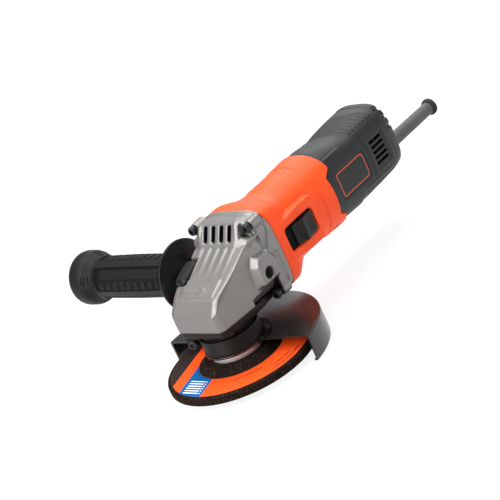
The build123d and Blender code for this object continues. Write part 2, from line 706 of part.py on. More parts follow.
# ================================================================ motor housing
spider_r = 25.4
spider_bore_r = 23.0
spider_wall_x = -143.5
rear_boss_r = 12.6
rear_seat_r = REAR_BEARING[1] + 1.2
pad_y = 33.4
slot_half = 2.6
slider_low_x, slider_high_x = SLIDER_X
foot_x = (slider_low_x + 8.0, slider_low_x + 16.0)

with BuildPart() as motor_housing:
    with BuildSketch(along_x(SEAM_X)):
        RectangleRounded(2 * SEAM_HALF + 2.4, 2 * SEAM_HALF + 2.4, SEAM_CORNER + 1)
    extrude(amount=COLLAR_END_X - SEAM_X + 4)
    with BuildSketch(along_x(COLLAR_END_X + 4)):
        RectangleRounded(2 * SEAM_HALF + 2.4, 2 * SEAM_HALF + 2.4, SEAM_CORNER + 1)
    with BuildSketch(along_x(COLLAR_END_X - 4)):
        RectangleRounded(2 * HOUSING_R, 2 * HOUSING_R, HOUSING_R - 2)
    loft(ruled=True)
    with BuildSketch(along_x(TAIL_SEAM_X)):
        Circle(HOUSING_R)
    extrude(amount=COLLAR_END_X - TAIL_SEAM_X)
    box_between((-92, 20, 49.5), (-54, pad_y, 76.5))
    with BuildSketch(along_x(spider_wall_x)):
        Circle(spider_r)
    extrude(amount=TAIL_SEAM_X - spider_wall_x + 1)
    with BuildSketch(along_x(spider_wall_x)):
        Circle(rear_boss_r)
    extrude(amount=rear_bearing_low_x - 1.6 - spider_wall_x)
    # the bore, its narrow rear part round the commutator, and the rear bearing's seat
    with BuildSketch(along_x(SEAM_X + 1)):
        Circle(HOUSING_BORE_R)
    extrude(amount=commutator_high_x - SEAM_X, mode=Mode.SUBTRACT)
    with BuildSketch(along_x(spider_wall_x + 3)):
        Circle(spider_bore_r)
    extrude(amount=commutator_high_x - spider_wall_x + 4, mode=Mode.SUBTRACT)
    with BuildSketch(along_x(rear_bearing_low_x - 2)):
        Circle(rear_seat_r)
    extrude(amount=REAR_BEARING[2] + 2.2, mode=Mode.SUBTRACT)
    with BuildSketch(along_x(rear_bearing_low_x - 2)):
        Circle(SHAFT_R + 3.0)
    extrude(amount=20, mode=Mode.SUBTRACT)
    with BuildSketch(along_x(spider_wall_x - 1)):
        with PolarLocations(18.0, 4, start_angle=45):
            Circle(3.6)
    extrude(amount=6, mode=Mode.SUBTRACT)
    # the switch's recess, the slider's slot and the link's channel
    box_between((slider_low_x - 1, pad_y - 1.3, 52.6), (-55.6, pad_y + 1, 73.4), Mode.SUBTRACT)
    box_between(
        (foot_x[0] - 0.4, 20, MOTOR_Z - slot_half), (foot_x[1] + SWITCH_TRAVEL + 0.4, pad_y, MOTOR_Z + slot_half),
        Mode.SUBTRACT)
    box_between((-160, LINK_Y - 1.4, MOTOR_Z - slot_half), (-118, 27, MOTOR_Z + slot_half), Mode.SUBTRACT)
    # holes for the corner screws
    with BuildSketch(along_x(SEAM_X + 1)):
        with Locations(corner_spots):
            Circle(2.0 + SEAT)
    extrude(amount=-11, mode=Mode.SUBTRACT)
keep(motor_housing.part, "motor_housing")

tube("rear_bearing_sleeve", along_x(rear_bearing_low_x), rear_seat_r - SEAT, REAR_BEARING[1] + SEAT,
     REAR_BEARING[2])

# ================================================================ brushes, above and below the commutator
brush_x = (commutator_low_x + commutator_high_x) / 2
brush_size = (8.0, 5.0)
brush_top = 17.6
holder_top = spider_bore_r - 0.6

with BuildPart() as carbon_brushes:
    with BuildSketch(Plane.XY):
        with Locations((brush_x, 0)):
            Rectangle(*brush_size)
    extrude(amount=MOTOR_Z * 2)
    for low, high in ((0, MOTOR_Z - brush_top), (MOTOR_Z + brush_top, MOTOR_Z * 2)):
        box_between((brush_x - 9, -9, low), (brush_x + 9, 9, high), Mode.SUBTRACT)
    with Locations(Location((brush_x, 0, MOTOR_Z), (0, 90, 0))):
        Cylinder(COMMUTATOR_R + RUN, 30, mode=Mode.SUBTRACT)
keep(carbon_brushes.part, "carbon_brushes")

with BuildPart() as brush_holders:
    with BuildSketch(Plane.XY):
        with Locations((brush_x, 0)):
            Rectangle(brush_size[0] + 2.4, brush_size[1] + 2.4)
    extrude(amount=MOTOR_Z * 2)
    for low, high in ((0, MOTOR_Z - holder_top), (MOTOR_Z - 12.4, MOTOR_Z + 12.4), (MOTOR_Z + holder_top, 130)):
        box_between((brush_x - 9, -9, low), (brush_x + 9, 9, high), Mode.SUBTRACT)
    box_between(
        (brush_x - brush_size[0] / 2 - RUN, -brush_size[1] / 2 - RUN, MOTOR_Z - holder_top + 1.0),
        (brush_x + brush_size[0] / 2 + RUN, brush_size[1] / 2 + RUN, MOTOR_Z + holder_top - 1.0), Mode.SUBTRACT)
keep(brush_holders.part, "brush_holders")

with BuildPart() as brush_springs:
    with BuildSketch(Plane.XY.offset(MOTOR_Z + brush_top + SEAT)):
        with Locations((brush_x, 0)):
            Circle(2.1)
            Circle(1.5, mode=Mode.SUBTRACT)
    extrude(amount=holder_top - 1.0 - brush_top - 2 * SEAT)
    mirror(about=Plane.XY.offset(MOTOR_Z))
keep(brush_springs.part, "brush_springs")

# ================================================================ tail housing in two halves
tail_front_x = TAIL_SEAM_X - 0.1
tail_taper_x = TAIL_END_X + 12.0
tail_corner = 19.0
tail_head_y = 18.0               # where the tail screws' heads sit, from the middle
tail_screw_spots = [(x, z) for x in (-158.0, -199.0) for z in (41.2, 84.6)]
sleeve_flange = (TAIL_END_X + TAIL_WALL, 8.2, 3.0)      # x of its front face, radius, thickness


def tail_block(inset):
    """The tail's outer shape, or its inside when an inset is given."""
    half = TAIL_R - inset
    with BuildPart() as block:
        with BuildSketch(along_x(tail_front_x + (1 if inset else 0))):
            RectangleRounded(2 * half, 2 * half, tail_corner - inset)
        extrude(amount=tail_taper_x - tail_front_x - (1 if inset else 0))
        with BuildSketch(along_x(tail_taper_x)):
            RectangleRounded(2 * half, 2 * half, tail_corner - inset)
        with BuildSketch(along_x(TAIL_END_X + inset, z=MOTOR_Z - 3)):
            RectangleRounded(2 * half - 14, 2 * half - 8, tail_corner - inset - 4)
        loft(ruled=True)
    return block.part


tail_outer = tail_block(0)
tail_inner = tail_block(TAIL_WALL)


def tail_half(side):
    """One half of the tail housing: +1 is the left, -1 the right."""
    with BuildPart() as half:
        add(tail_outer)
        add(tail_inner, mode=Mode.SUBTRACT)
        with BuildSketch(along_x(tail_front_x)):
            Circle(TAIL_R - 0.5)
            Circle(spider_r + SEAT, mode=Mode.SUBTRACT)
        extrude(amount=-4)
        with BuildSketch(Plane.XZ.offset(-side * (TAIL_R - 1.5))):
            with Locations(tail_screw_spots):
                Circle(4.0)
        extrude(amount=side * (TAIL_R - 1.5))
        with BuildSketch(Plane.XZ.offset(40)):
            with Locations(tail_screw_spots):
                Circle(1.5 if side > 0 else 1.9)
        extrude(amount=-40 - (TAIL_R - 6 if side > 0 else 0), mode=Mode.SUBTRACT)
        if side < 0:
            with BuildSketch(Plane.XZ.offset(tail_head_y)):
                with Locations(tail_screw_spots):
                    Circle(3.6)
            extrude(amount=20, mode=Mode.SUBTRACT)
        # a rib that holds the switch, then the seat of the cord's sleeve
        box_between((-182, side * 8.1, 54), (-180, side * (TAIL_R - 1), 72))
        add(tail_outer, mode=Mode.INTERSECT)
        with BuildSketch(along_x(TAIL_END_X - 1, z=CORD_Z)):
            Circle(SLEEVE_R + SEAT)
        extrude(amount=30, mode=Mode.SUBTRACT)
        # five vent slots
        for index in range(5):
            slot_z = 55.5 + index * 4.2
            box_between((-192, side * 40, slot_z), (-176, side * 22, slot_z + 2.2), Mode.SUBTRACT)
        if side > 0:
            box_between((-160, LINK_Y - 1.4, MOTOR_Z - slot_half), (-126, 25.7, MOTOR_Z + slot_half), Mode.SUBTRACT)
        keep_box = (-300, 0.02, 0) if side > 0 else (-300, -60, 0)
        keep_end = (-100, 60, 130) if side > 0 else (-100, -0.02, 130)
        box_between(keep_box, keep_end, Mode.INTERSECT)
    return half.part


keep(tail_half(1), "rear_housing_left")
keep(tail_half(-1), "rear_housing_right")

with BuildPart() as tail_screws:
    with BuildSketch(Plane.XZ.offset(tail_head_y + SEAT)):
        with Locations(tail_screw_spots):
            Circle(3.2)
    extrude(amount=2.2)
    with BuildSketch(Plane.XZ.offset(tail_head_y + 2.2 + SEAT)):
        with Locations(tail_screw_spots):
            RegularPolygon(1.5, 6)
    extrude(amount=-1.4, mode=Mode.SUBTRACT)
    with BuildSketch(Plane.XZ.offset(tail_head_y + 0.1)):
        with Locations(tail_screw_spots):
            Circle(1.45)
    extrude(amount=-tail_head_y - 16)
keep(tail_screws.part, "rear_housing_screws")

# ================================================================ switch, capacitor and cord entry
with BuildPart() as switch_module:
    box_between((-190, -8, 52.5), (-165, 8, 74))
    box_between((-165.5, -3, 60), (-163.4, 3, 66))
    box_between((-180, -5, 74), (-175, 5, 78))
keep(switch_module.part, "switch_module")

with BuildPart() as capacitor:
    box_between((-188, -12, 41.5), (-170, 12, 52.4))
    fillet(capacitor.edges().filter_by(Axis.X), 2)
keep(capacitor.part, "capacitor")

flange_x_face, sleeve_flange_r, sleeve_flange_t = sleeve_flange
with BuildPart() as cord_sleeve:
    with BuildSketch(along_x(flange_x_face + SEAT, z=CORD_Z)):
        Circle(sleeve_flange_r)
    extrude(amount=sleeve_flange_t)
    with BuildSketch(along_x(SLEEVE_END_X, z=CORD_Z)):
        Circle(SLEEVE_R)
    extrude(amount=flange_x_face - SLEEVE_END_X + 1)
    with BuildSketch(along_x(SLEEVE_END_X, z=CORD_Z)):
        Circle(SLEEVE_R + 1.8)
    extrude(amount=2.6)
    with BuildSketch(along_x(SLEEVE_END_X - 1, z=CORD_Z)):
        Circle(CORD_R)
    extrude(amount=110, mode=Mode.SUBTRACT)
keep(cord_sleeve.part, "cord_sleeve")

# ================================================================ guard and its clamp
neck_r = NECK_R + RUN
band_r = neck_r + BAND_T
guard_low_z = GUARD_TOP_Z - GUARD_T
foot_r = NECK_R + 7.5
rivet_circle_r = NECK_R + 4.9
ear_gap = 2.4
ear_reach = NECK_R + 12.5
ear_t = 2.2
clamp_r = NECK_R + 8.1
clamp_z = 24.0
guard_turn = Rotation(0, 0, GUARD_REST)
clamp_turn = Rotation(0, 0, CLAMP_ANGLE)

with BuildPart() as guard:
    with BuildSketch(Plane.XY.offset(guard_low_z)):
        Circle(GUARD_R)
    extrude(amount=GUARD_T)
    fillet(guard.edges().group_by(Axis.Z)[-1], 1.2)
    with BuildSketch(Plane.XY.offset(GUARD_BOTTOM_Z)):
        Circle(GUARD_R)
        Circle(GUARD_R - GUARD_T, mode=Mode.SUBTRACT)
    extrude(amount=guard_low_z - GUARD_BOTTOM_Z + 0.2)
    with BuildSketch(Plane.XY.offset(GUARD_BOTTOM_Z)):
        Circle(GUARD_R)
        Circle(GUARD_R - 3.4, mode=Mode.SUBTRACT)
    extrude(amount=GUARD_T)
    box_between((GUARD_CUT_X, -80, -20), (80, 80, 40), Mode.SUBTRACT)
    with BuildSketch(Plane.XY.offset(guard_low_z)):
        Circle(foot_r)
    extrude(amount=GUARD_T)
    with Locations((0, 0, guard_low_z)):
        Cylinder(neck_r, 20, mode=Mode.SUBTRACT)
    with BuildSketch(Plane.XY.offset(guard_low_z - 1)):
        with PolarLocations(rivet_circle_r, 4, start_angle=120, angular_range=120, endpoint=True):
            Circle(1.25)
    extrude(amount=10, mode=Mode.SUBTRACT)
keep(guard_turn * guard.part, "guard")

with BuildPart() as guard_collar:
    with BuildSketch(Plane.XY.offset(GUARD_TOP_Z + SEAT)):
        Circle(foot_r)
    extrude(amount=1.6)
    with BuildSketch(Plane.XY.offset(GUARD_TOP_Z + SEAT)):
        Circle(band_r)
    extrude(amount=BAND_TOP_Z - GUARD_TOP_Z - SEAT)
    box_between((band_r - 1.5, -ear_gap / 2 - ear_t, clamp_z - 4.4), (ear_reach, ear_gap / 2 + ear_t, clamp_z + 4.4))
    box_between((10, -ear_gap / 2, 10), (60, ear_gap / 2, 40), Mode.SUBTRACT)
    with Locations((0, 0, GUARD_TOP_Z)):
        Cylinder(neck_r, 40, mode=Mode.SUBTRACT)
    with Locations(Location((clamp_r, 0, clamp_z), (90, 0, 0))):
        Cylinder(2.1, 20, mode=Mode.SUBTRACT)
    with BuildSketch(Plane.XY.offset(GUARD_TOP_Z)):
        with PolarLocations(rivet_circle_r, 4, start_angle=120 + GUARD_REST - CLAMP_ANGLE, angular_range=120, endpoint=True):
            Circle(1.25)
    extrude(amount=2, mode=Mode.SUBTRACT)
keep(clamp_turn * guard_collar.part, "guard_collar")

with BuildPart() as guard_rivets:
    with BuildSketch(Plane.XY.offset(guard_low_z - 0.7)):
        with PolarLocations(rivet_circle_r, 4, start_angle=120 + GUARD_REST, angular_range=120, endpoint=True):
            Circle(2.2)
    extrude(amount=0.7 - SEAT)
    with BuildSketch(Plane.XY.offset(guard_low_z - 0.5)):
        with PolarLocations(rivet_circle_r, 4, start_angle=120 + GUARD_REST, angular_range=120, endpoint=True):
            Circle(1.2)
    extrude(amount=4.2)
    with BuildSketch(Plane.XY.offset(GUARD_TOP_Z + 1.6 + 2 * SEAT)):
        with PolarLocations(rivet_circle_r, 4, start_angle=120 + GUARD_REST, angular_range=120, endpoint=True):
            Circle(2.2)
    extrude(amount=0.8)
keep(guard_rivets.part, "guard_rivets")

ear_face_y = ear_gap / 2 + ear_t
with BuildPart() as clamp_screw:
    with BuildSketch(along_y(ear_face_y + SEAT, clamp_r, clamp_z)):
        Circle(3.5)
    extrude(amount=2.8)
    with BuildSketch(along_y(ear_face_y + SEAT + 2.8, clamp_r, clamp_z)):
        RegularPolygon(1.6, 6)
    extrude(amount=-1.6, mode=Mode.SUBTRACT)
    with BuildSketch(along_y(ear_face_y + 0.1, clamp_r, clamp_z)):
        Circle(1.98)
    extrude(amount=-2 * ear_face_y - 4.2)
keep(clamp_turn * clamp_screw.part, "guard_clamp_screw")

with BuildPart() as clamp_nut:
    with BuildSketch(along_y(-ear_face_y - SEAT, clamp_r, clamp_z)):
        RegularPolygon(3.9, 6)
        Circle(2.0, mode=Mode.SUBTRACT)
    extrude(amount=-3.0)
keep(clamp_turn * clamp_nut.part, "guard_clamp_nut")

# ================================================================ lock button
button_rest_z = pocket_floor_z + LOCK_TRAVEL + 0.2
button_top_z = button_rest_z + 8.2
pin_tip_z = rim_high_z + 1.2
with BuildPart() as lock_button:
    box_between((low_x, low_y, button_rest_z), (high_x, high_y, button_top_z))
    fillet(lock_button.edges().filter_by(Axis.Z), 2.6)
    fillet(lock_button.edges().group_by(Axis.Z)[-1], 1.2)
    with Locations((0, -LOCK_R, button_rest_z)):
        Cylinder(LOCK_PIN_R, 6, mode=Mode.SUBTRACT)
keep(lock_button.part, "lock_button")

with BuildPart() as lock_pin:
    with BuildSketch(Plane.XY.offset(pin_tip_z)):
        with Locations((0, -LOCK_R)):
            Circle(LOCK_PIN_R)
    extrude(amount=button_rest_z + 3 - pin_tip_z)
    chamfer(lock_pin.edges().group_by(Axis.Z)[0], 0.3)
keep(lock_pin.part, "lock_pin")

with BuildPart() as lock_spring:
    with BuildSketch(Plane.XY.offset(pocket_floor_z + SEAT)):
        with Locations((0, -LOCK_R)):
            Circle(2.9)
            Circle(2.2, mode=Mode.SUBTRACT)
    extrude(amount=button_rest_z - pocket_floor_z - 2 * SEAT)
keep(lock_spring.part, "lock_spring")

# ================================================================ switch slider and its link
slider_floor = pad_y - 1.3 + 0.1
with BuildPart() as switch_slider:
    box_between(
        (slider_low_x, slider_floor, MOTOR_Z - SLIDER_HALF), (slider_high_x, slider_floor + 2.6, MOTOR_Z + SLIDER_HALF))
    with BuildSketch(Plane.XY.offset(MOTOR_Z - SLIDER_HALF)):
        with BuildLine():
            Polyline(
                (slider_low_x + 1, slider_floor + 2), (slider_low_x + 3, slider_floor + 3.8),
                (slider_low_x + 12, slider_floor + 3.2), (slider_low_x + 14, slider_floor + 5.2),
                (slider_low_x + 17, slider_floor + 5.2), (slider_high_x - 1, slider_floor + 2), close=True)
        make_face()
    extrude(amount=2 * SLIDER_HALF)
    box_between((foot_x[0], LINK_Y + LINK_T + SEAT, MOTOR_Z - 2.3), (foot_x[1], slider_floor + 1, MOTOR_Z + 2.3))
keep(switch_slider.part, "switch_slider")

with BuildPart() as switch_link:
    box_between((-162, LINK_Y, MOTOR_Z - 2), (foot_x[1] + 2, LINK_Y + LINK_T, MOTOR_Z + 2))
    box_between((-162, 3.4, MOTOR_Z - 2), (-159.6, LINK_Y + LINK_T, MOTOR_Z + 2))
keep(switch_link.part, "switch_link")

# ================================================================ side handle
handle_axis = Axis((HANDLE_X, 0, HANDLE_Z), (0, 1, 0))
grip_start_y = -BOSS_FACE_Y - 0.3
stud_inner_y = -BOSS_FACE_Y + STUD_IN_SOCKET
with BuildPart() as handle_grip:
    with BuildSketch(Plane.XY.offset(HANDLE_Z)):
        with BuildLine():
            Polyline(
                (HANDLE_X, grip_start_y), (HANDLE_X + 9.5, grip_start_y), (HANDLE_X + 10.5, -39.5),
                (HANDLE_X + 20, -45), (HANDLE_X + 26.2, GRIP_FLANGE_Y + 0.8), (HANDLE_X + GRIP_FLANGE_R, GRIP_FLANGE_Y),
                (HANDLE_X + GRIP_FLANGE_R, GRIP_FLANGE_Y - 1.6), (HANDLE_X + 22, GRIP_FLANGE_Y - 3.6),
                (HANDLE_X + GRIP_R - 1, GRIP_FLANGE_Y - 5), (HANDLE_X + GRIP_R, GRIP_FLANGE_Y - 10),
                (HANDLE_X + GRIP_R, GRIP_END_Y + KNOB_L + 6), (HANDLE_X + GRIP_R + 1, GRIP_END_Y + KNOB_L + 1))
            ThreePointArc(
                (HANDLE_X + GRIP_R + 1, GRIP_END_Y + KNOB_L + 1), (HANDLE_X + KNOB_R, GRIP_END_Y + KNOB_L * 0.52),
                (HANDLE_X + GRIP_R, GRIP_END_Y + 0.6))
            Polyline((HANDLE_X + GRIP_R, GRIP_END_Y + 0.6), (HANDLE_X, GRIP_END_Y), (HANDLE_X, grip_start_y))
        make_face()
    revolve(axis=handle_axis)
    with BuildSketch(along_y(-30, HANDLE_X, HANDLE_Z)):
        Circle(STUD_R + SEAT)
    extrude(amount=-46, mode=Mode.SUBTRACT)
keep(handle_grip.part, "handle_grip")

with BuildPart() as handle_stud:
    with BuildSketch(along_y(stud_inner_y, HANDLE_X, HANDLE_Z)):
        Circle(STUD_R)
    extrude(amount=-75.9 - stud_inner_y)
    chamfer(handle_stud.edges().group_by(Axis.Y)[-1], 0.8)
keep(handle_stud.part, "handle_stud")

print(len(names), "nodes")
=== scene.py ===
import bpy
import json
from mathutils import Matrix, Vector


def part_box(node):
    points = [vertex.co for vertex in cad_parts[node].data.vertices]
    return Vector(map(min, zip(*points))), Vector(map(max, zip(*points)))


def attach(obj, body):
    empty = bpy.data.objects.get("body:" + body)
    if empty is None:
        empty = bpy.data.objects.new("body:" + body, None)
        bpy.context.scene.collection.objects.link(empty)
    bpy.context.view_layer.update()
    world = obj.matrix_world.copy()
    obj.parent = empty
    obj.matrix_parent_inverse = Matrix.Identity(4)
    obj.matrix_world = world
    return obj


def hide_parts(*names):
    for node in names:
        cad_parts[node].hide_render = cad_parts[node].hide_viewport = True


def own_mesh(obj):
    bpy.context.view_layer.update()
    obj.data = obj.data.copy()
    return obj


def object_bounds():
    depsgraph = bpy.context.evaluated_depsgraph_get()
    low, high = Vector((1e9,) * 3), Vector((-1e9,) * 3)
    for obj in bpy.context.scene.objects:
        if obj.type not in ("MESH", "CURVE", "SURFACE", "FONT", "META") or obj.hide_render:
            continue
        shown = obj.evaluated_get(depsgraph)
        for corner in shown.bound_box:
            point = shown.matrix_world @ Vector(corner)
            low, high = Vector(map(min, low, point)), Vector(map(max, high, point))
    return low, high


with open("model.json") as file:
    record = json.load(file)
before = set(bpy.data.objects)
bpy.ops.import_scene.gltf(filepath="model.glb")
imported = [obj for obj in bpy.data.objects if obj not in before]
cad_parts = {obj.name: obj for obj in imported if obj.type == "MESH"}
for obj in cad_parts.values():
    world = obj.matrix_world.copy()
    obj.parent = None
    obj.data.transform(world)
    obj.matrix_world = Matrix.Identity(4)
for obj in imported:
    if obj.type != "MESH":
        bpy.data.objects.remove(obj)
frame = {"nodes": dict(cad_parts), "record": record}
cad_box = [list(corner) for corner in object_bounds()]

import json
from math import cos, pi, radians, sin

import bmesh
import bpy
import numpy as np
from mathutils import Matrix, Vector, noise

MM = 0.001
scene = bpy.context.scene


# ---------------------------------------------------------------- places, read from the CAD
def low(node):
    """A node's lowest corner in millimetres."""
    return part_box(node)[0] / MM


def high(node):
    """A node's highest corner in millimetres."""
    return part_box(node)[1] / MM


MOTOR_Z = (low("armature_core").z + high("armature_core").z) / 2
SEAM_GAP_X = high("motor_housing").x
SEAM_X = high("rear_housing_left").x
TAIL_END_X = low("rear_housing_left").x
HANDLE_X = (low("handle_stud").x + high("handle_stud").x) / 2
HANDLE_Z = (low("handle_stud").z + high("handle_stud").z) / 2
GRIP_END_Y = low("handle_grip").y
CORD_Z = (low("cord_sleeve").z + high("cord_sleeve").z) / 2


# ---------------------------------------------------------------- camera, light and floor
def place_camera():
    """A long lens from the front, rolled so that the tail points up and to the right."""
    azimuth, elevation, roll = radians(139.13), radians(21.15), radians(-24.98)
    target = Vector((0, 0, 0.030))
    distance = 1.20826
    aside, above = -0.016015, -0.05296
    back = Vector((sin(azimuth) * cos(elevation), -cos(azimuth) * cos(elevation), sin(elevation)))
    level = Vector((0, 0, 1)).cross(back).normalized()
    upright = back.cross(level)
    right = level * cos(roll) + upright * sin(roll)
    up = upright * cos(roll) - level * sin(roll)
    lens = bpy.data.cameras.new("camera")
    lens.sensor_width = 36.0
    lens.lens = 122.98
    lens.clip_end = 50
    camera = bpy.data.objects.new("camera", lens)
    scene.collection.objects.link(camera)
    turn = Matrix((right, up, back)).transposed().to_4x4()
    camera.matrix_world = Matrix.Translation(target + back * distance - right * aside - up * above) @ turn
    scene.camera = camera
    return right, up, back


def soft_light(name, towards, distance, size, power, colour=(1, 1, 1)):
    """A square area light that looks at the middle of the tool."""
    aim = Vector((-0.08, 0, 0.05))
    lamp = bpy.data.lights.new(name, "AREA")
    lamp.shape = "RECTANGLE"
    lamp.size, lamp.size_y = size
    lamp.energy = power
    lamp.color = colour
    holder = bpy.data.objects.new(name, lamp)
    holder.location = aim + Vector(towards).normalized() * distance
    holder.rotation_euler = (aim - holder.location).to_track_quat("-Z", "Y").to_euler()
    scene.collection.objects.link(holder)


def light_studio():
    right, up, back = place_camera()
    soft_light("overhead_softbox", (-0.15, -0.1, 1.0), 1.5, (1.7, 1.4), 33)
    soft_light("camera_side_fill", back + up * 0.5 - right * 1.4, 1.8, (1.2, 1.2), 22)
    soft_light("tail_side_strip", back * 0.35 + right * 1.0 + up * 0.35, 1.5, (0.35, 1.5), 5)
    soft_light("nose_card", (1.0, -0.10, 0.30), 1.2, (0.8, 0.8), 10)
    soft_light("rim_behind", -back * 0.6 + up * 0.9, 1.6, (1.2, 0.8), 8)
    world = bpy.data.worlds.new("studio")
    world.use_nodes = True
    world.node_tree.nodes["Background"].inputs["Color"].default_value = (1, 1, 1, 1)
    world.node_tree.nodes["Background"].inputs["Strength"].default_value = 0.40
    scene.world = world
    scene.view_settings.view_transform = "Standard"


def lay_floor():
    """A plain pale floor just under the lowest point of the guard."""
    reach = 12.0
    level = cad_box[0][2] - 0.0006
    mesh = bpy.data.meshes.new("floor")
    corners = [(-reach, -reach, level), (reach, -reach, level), (reach, reach, level), (-reach, reach, level)]
    mesh.from_pydata(corners, [], [(0, 1, 2, 3)])
    floor = bpy.data.objects.new("floor", mesh)
    scene.collection.objects.link(floor)
    paint = bpy.data.materials.new("floor_paint")
    paint.use_nodes = True
    surface = paint.node_tree.nodes["Principled BSDF"]
    surface.inputs["Base Color"].default_value = (0.14, 0.14, 0.14, 1)
    surface.inputs["Roughness"].default_value = 0.95
    surface.inputs["Specular IOR Level"].default_value = 0.0
    surface.inputs["Emission Color"].default_value = (1, 1, 1, 1)
    surface.inputs["Emission Strength"].default_value = 0.87
    mesh.materials.append(paint)


# ---------------------------------------------------------------- shader maths
class Wire:
    """One output of a shader node. Arithmetic on it adds Math nodes."""

    def __init__(self, finish, socket):
        self.finish = finish
        self.socket = socket

    def math(self, operation, *others, clamp=False):
        settings = {"operation": operation, "use_clamp": clamp}
        return self.finish.node("ShaderNodeMath", settings, self, *others)

    def __add__(self, other):
        return self.math("ADD", other)

    def __sub__(self, other):
        return self.math("SUBTRACT", other)

    def __rsub__(self, other):
        return self.finish.node("ShaderNodeMath", {"operation": "SUBTRACT"}, other, self)

    def __mul__(self, other):
        return self.math("MULTIPLY", other)

    def __truediv__(self, other):
        return self.math("DIVIDE", other)

    def __gt__(self, other):
        return self.math("GREATER_THAN", other)

    def __lt__(self, other):
        return self.math("LESS_THAN", other)

    def __abs__(self):
        return self.math("ABSOLUTE")

    def sine(self):
        return self.math("SINE")

    def clamped(self):
        return self.math("ADD", 0.0, clamp=True)

    def between(self, start, end):
        return (self > start) * (self < end)

    __radd__ = __add__
    __rmul__ = __mul__


class Finish:
    """A material whose nodes are added one by one to its Principled surface."""

    def __init__(self, name, colour, roughness, metallic=0.0, **constants):
        self.material = bpy.data.materials.new(name)
        self.material.use_nodes = True
        self.tree = self.material.node_tree
        self.surface = self.tree.nodes["Principled BSDF"]
        self.colour = (*colour, 1)
        self.set("Base Color", self.colour)
        self.set("Roughness", roughness)
        self.set("Metallic", metallic)
        for socket, value in constants.items():
            self.set(socket.replace("_", " ").title().replace("Ior", "IOR"), value)
        self.place = self.node("ShaderNodeTexCoord", out="Object")

    def node(self, kind, settings=None, *values, out=0, **named):
        """Add a node, set its own settings, then its sockets by order or by name."""
        made = self.tree.nodes.new(kind)
        settings = dict(settings or {})
        stops = settings.pop("stops", None)
        for key, value in settings.items():
            setattr(made, key, value)
        if stops:
            ramp = made.color_ramp.elements
            while len(ramp) < len(stops):
                ramp.new(0.5)
            for element, (where, shade) in zip(ramp, stops):
                element.position = where
                element.color = (*shade, 1) if isinstance(shade, tuple) else (shade, shade, shade, 1)
        for key, value in list(enumerate(values)) + list(named.items()):
            socket = made.inputs[key if isinstance(key, int) else key.replace("_", " ")]
            if isinstance(value, Wire):
                self.tree.links.new(value.socket, socket)
            else:
                socket.default_value = value
        return Wire(self, made.outputs[out])

    def set(self, socket, value):
        """Set one socket of the surface to a number, a colour or a wire."""
        target = self.surface.inputs[socket]
        if isinstance(value, Wire):
            self.tree.links.new(value.socket, target)
        else:
            target.default_value = value

    def axes(self):
        """The object's x, y and z as three wires, in metres."""
        split = self.node("ShaderNodeSeparateXYZ", None, self.place)
        node = split.socket.node
        return [Wire(self, node.outputs[index]) for index in range(3)]

    def noise(self, scale, detail=2.0, rough=0.5):
        return self.node(
            "ShaderNodeTexNoise", None, Vector=self.place, Scale=scale, Detail=detail, Roughness=rough)

    def mix(self, share, first, second):
        """A colour mix of two colours or wires."""
        made = self.tree.nodes.new("ShaderNodeMix")
        made.data_type = "RGBA"
        for key, value in (("Factor_Float", share), ("A_Color", first), ("B_Color", second)):
            socket = next(s for s in made.inputs if s.identifier == key)
            if isinstance(value, Wire):
                self.tree.links.new(value.socket, socket)
            else:
                socket.default_value = value if key == "Factor_Float" else (*value[:3], 1)
        return Wire(self, next(s for s in made.outputs if s.identifier == "Result_Color"))

    def shaded(self, factor):
        """The finish's own colour, darkened or lightened by a factor."""
        return tuple(min(1.0, channel * factor) for channel in self.colour[:3])

    def bump(self, height, depth, strength=1.0):
        """Relief from a 0 to 1 height, with its depth in metres."""
        relief = self.node("ShaderNodeBump", None, Height=height, Distance=depth, Strength=strength)
        self.set("Normal", relief)
        return relief


# ---------------------------------------------------------------- finishes
def cast_alloy():
    """Satin die-cast aluminium with a fine orange-peel skin and a few worn spots."""
    finish = Finish("satin_cast_alloy", (0.207, 0.198, 0.192), 0.38, 0.75)
    cloud = finish.noise(38.0, 4.0)
    grain = finish.noise(1700.0, 3.0)
    metal = finish.mix(cloud, (0.183, 0.175, 0.169), (0.233, 0.225, 0.219))
    # the vent chamber and its slot walls are painted black and non-metallic: painted shade where the deep
    # chamber falls dark
    x, y, z = finish.axes()
    depth = 0.02978 - (x * 0.813 + z * 0.5825)
    chamber_painted_shade = (depth > 0.0007) * z.between(0.0806, 0.0943) * (abs(y) < 0.0150)
    finish.set("Base Color", finish.mix(chamber_painted_shade, metal, (0.003, 0.003, 0.003)))
    finish.set("Metallic", 0.75 - chamber_painted_shade * 0.75)
    finish.set("Roughness", 0.30 + cloud * 0.14 + grain * 0.06)
    finish.bump(grain, 0.00007, 0.55)
    return finish.material


def turned_steel(name, colour, roughness, scale=900.0):
    """Ground or turned steel: fine lines round the spindle's axis."""
    finish = Finish(name, colour, roughness, 1.0)
    x, y, z = finish.axes()
    radius = (x * x + y * y).math("SQRT")
    rings = (radius * scale * 6.0 + z * scale * 5.0).sine()
    cloud = finish.noise(60.0)
    finish.set("Roughness", roughness - 0.05 + cloud * 0.1)
    finish.bump(rings * 0.5 + 0.5, 0.000012, 0.4)
    return finish.material


def plated_steel(name, colour, roughness):
    """Bright zinc plate with faint blotches."""
    finish = Finish(name, colour, roughness, 1.0)
    cloud = finish.noise(140.0, 3.0)
    fine = finish.noise(1500.0)
    finish.set("Base Color", finish.mix(cloud, finish.shaded(0.86), finish.shaded(1.08)))
    finish.set("Roughness", roughness - 0.06 + cloud * 0.12)
    finish.bump(fine, 0.00002, 0.4)
    return finish.material


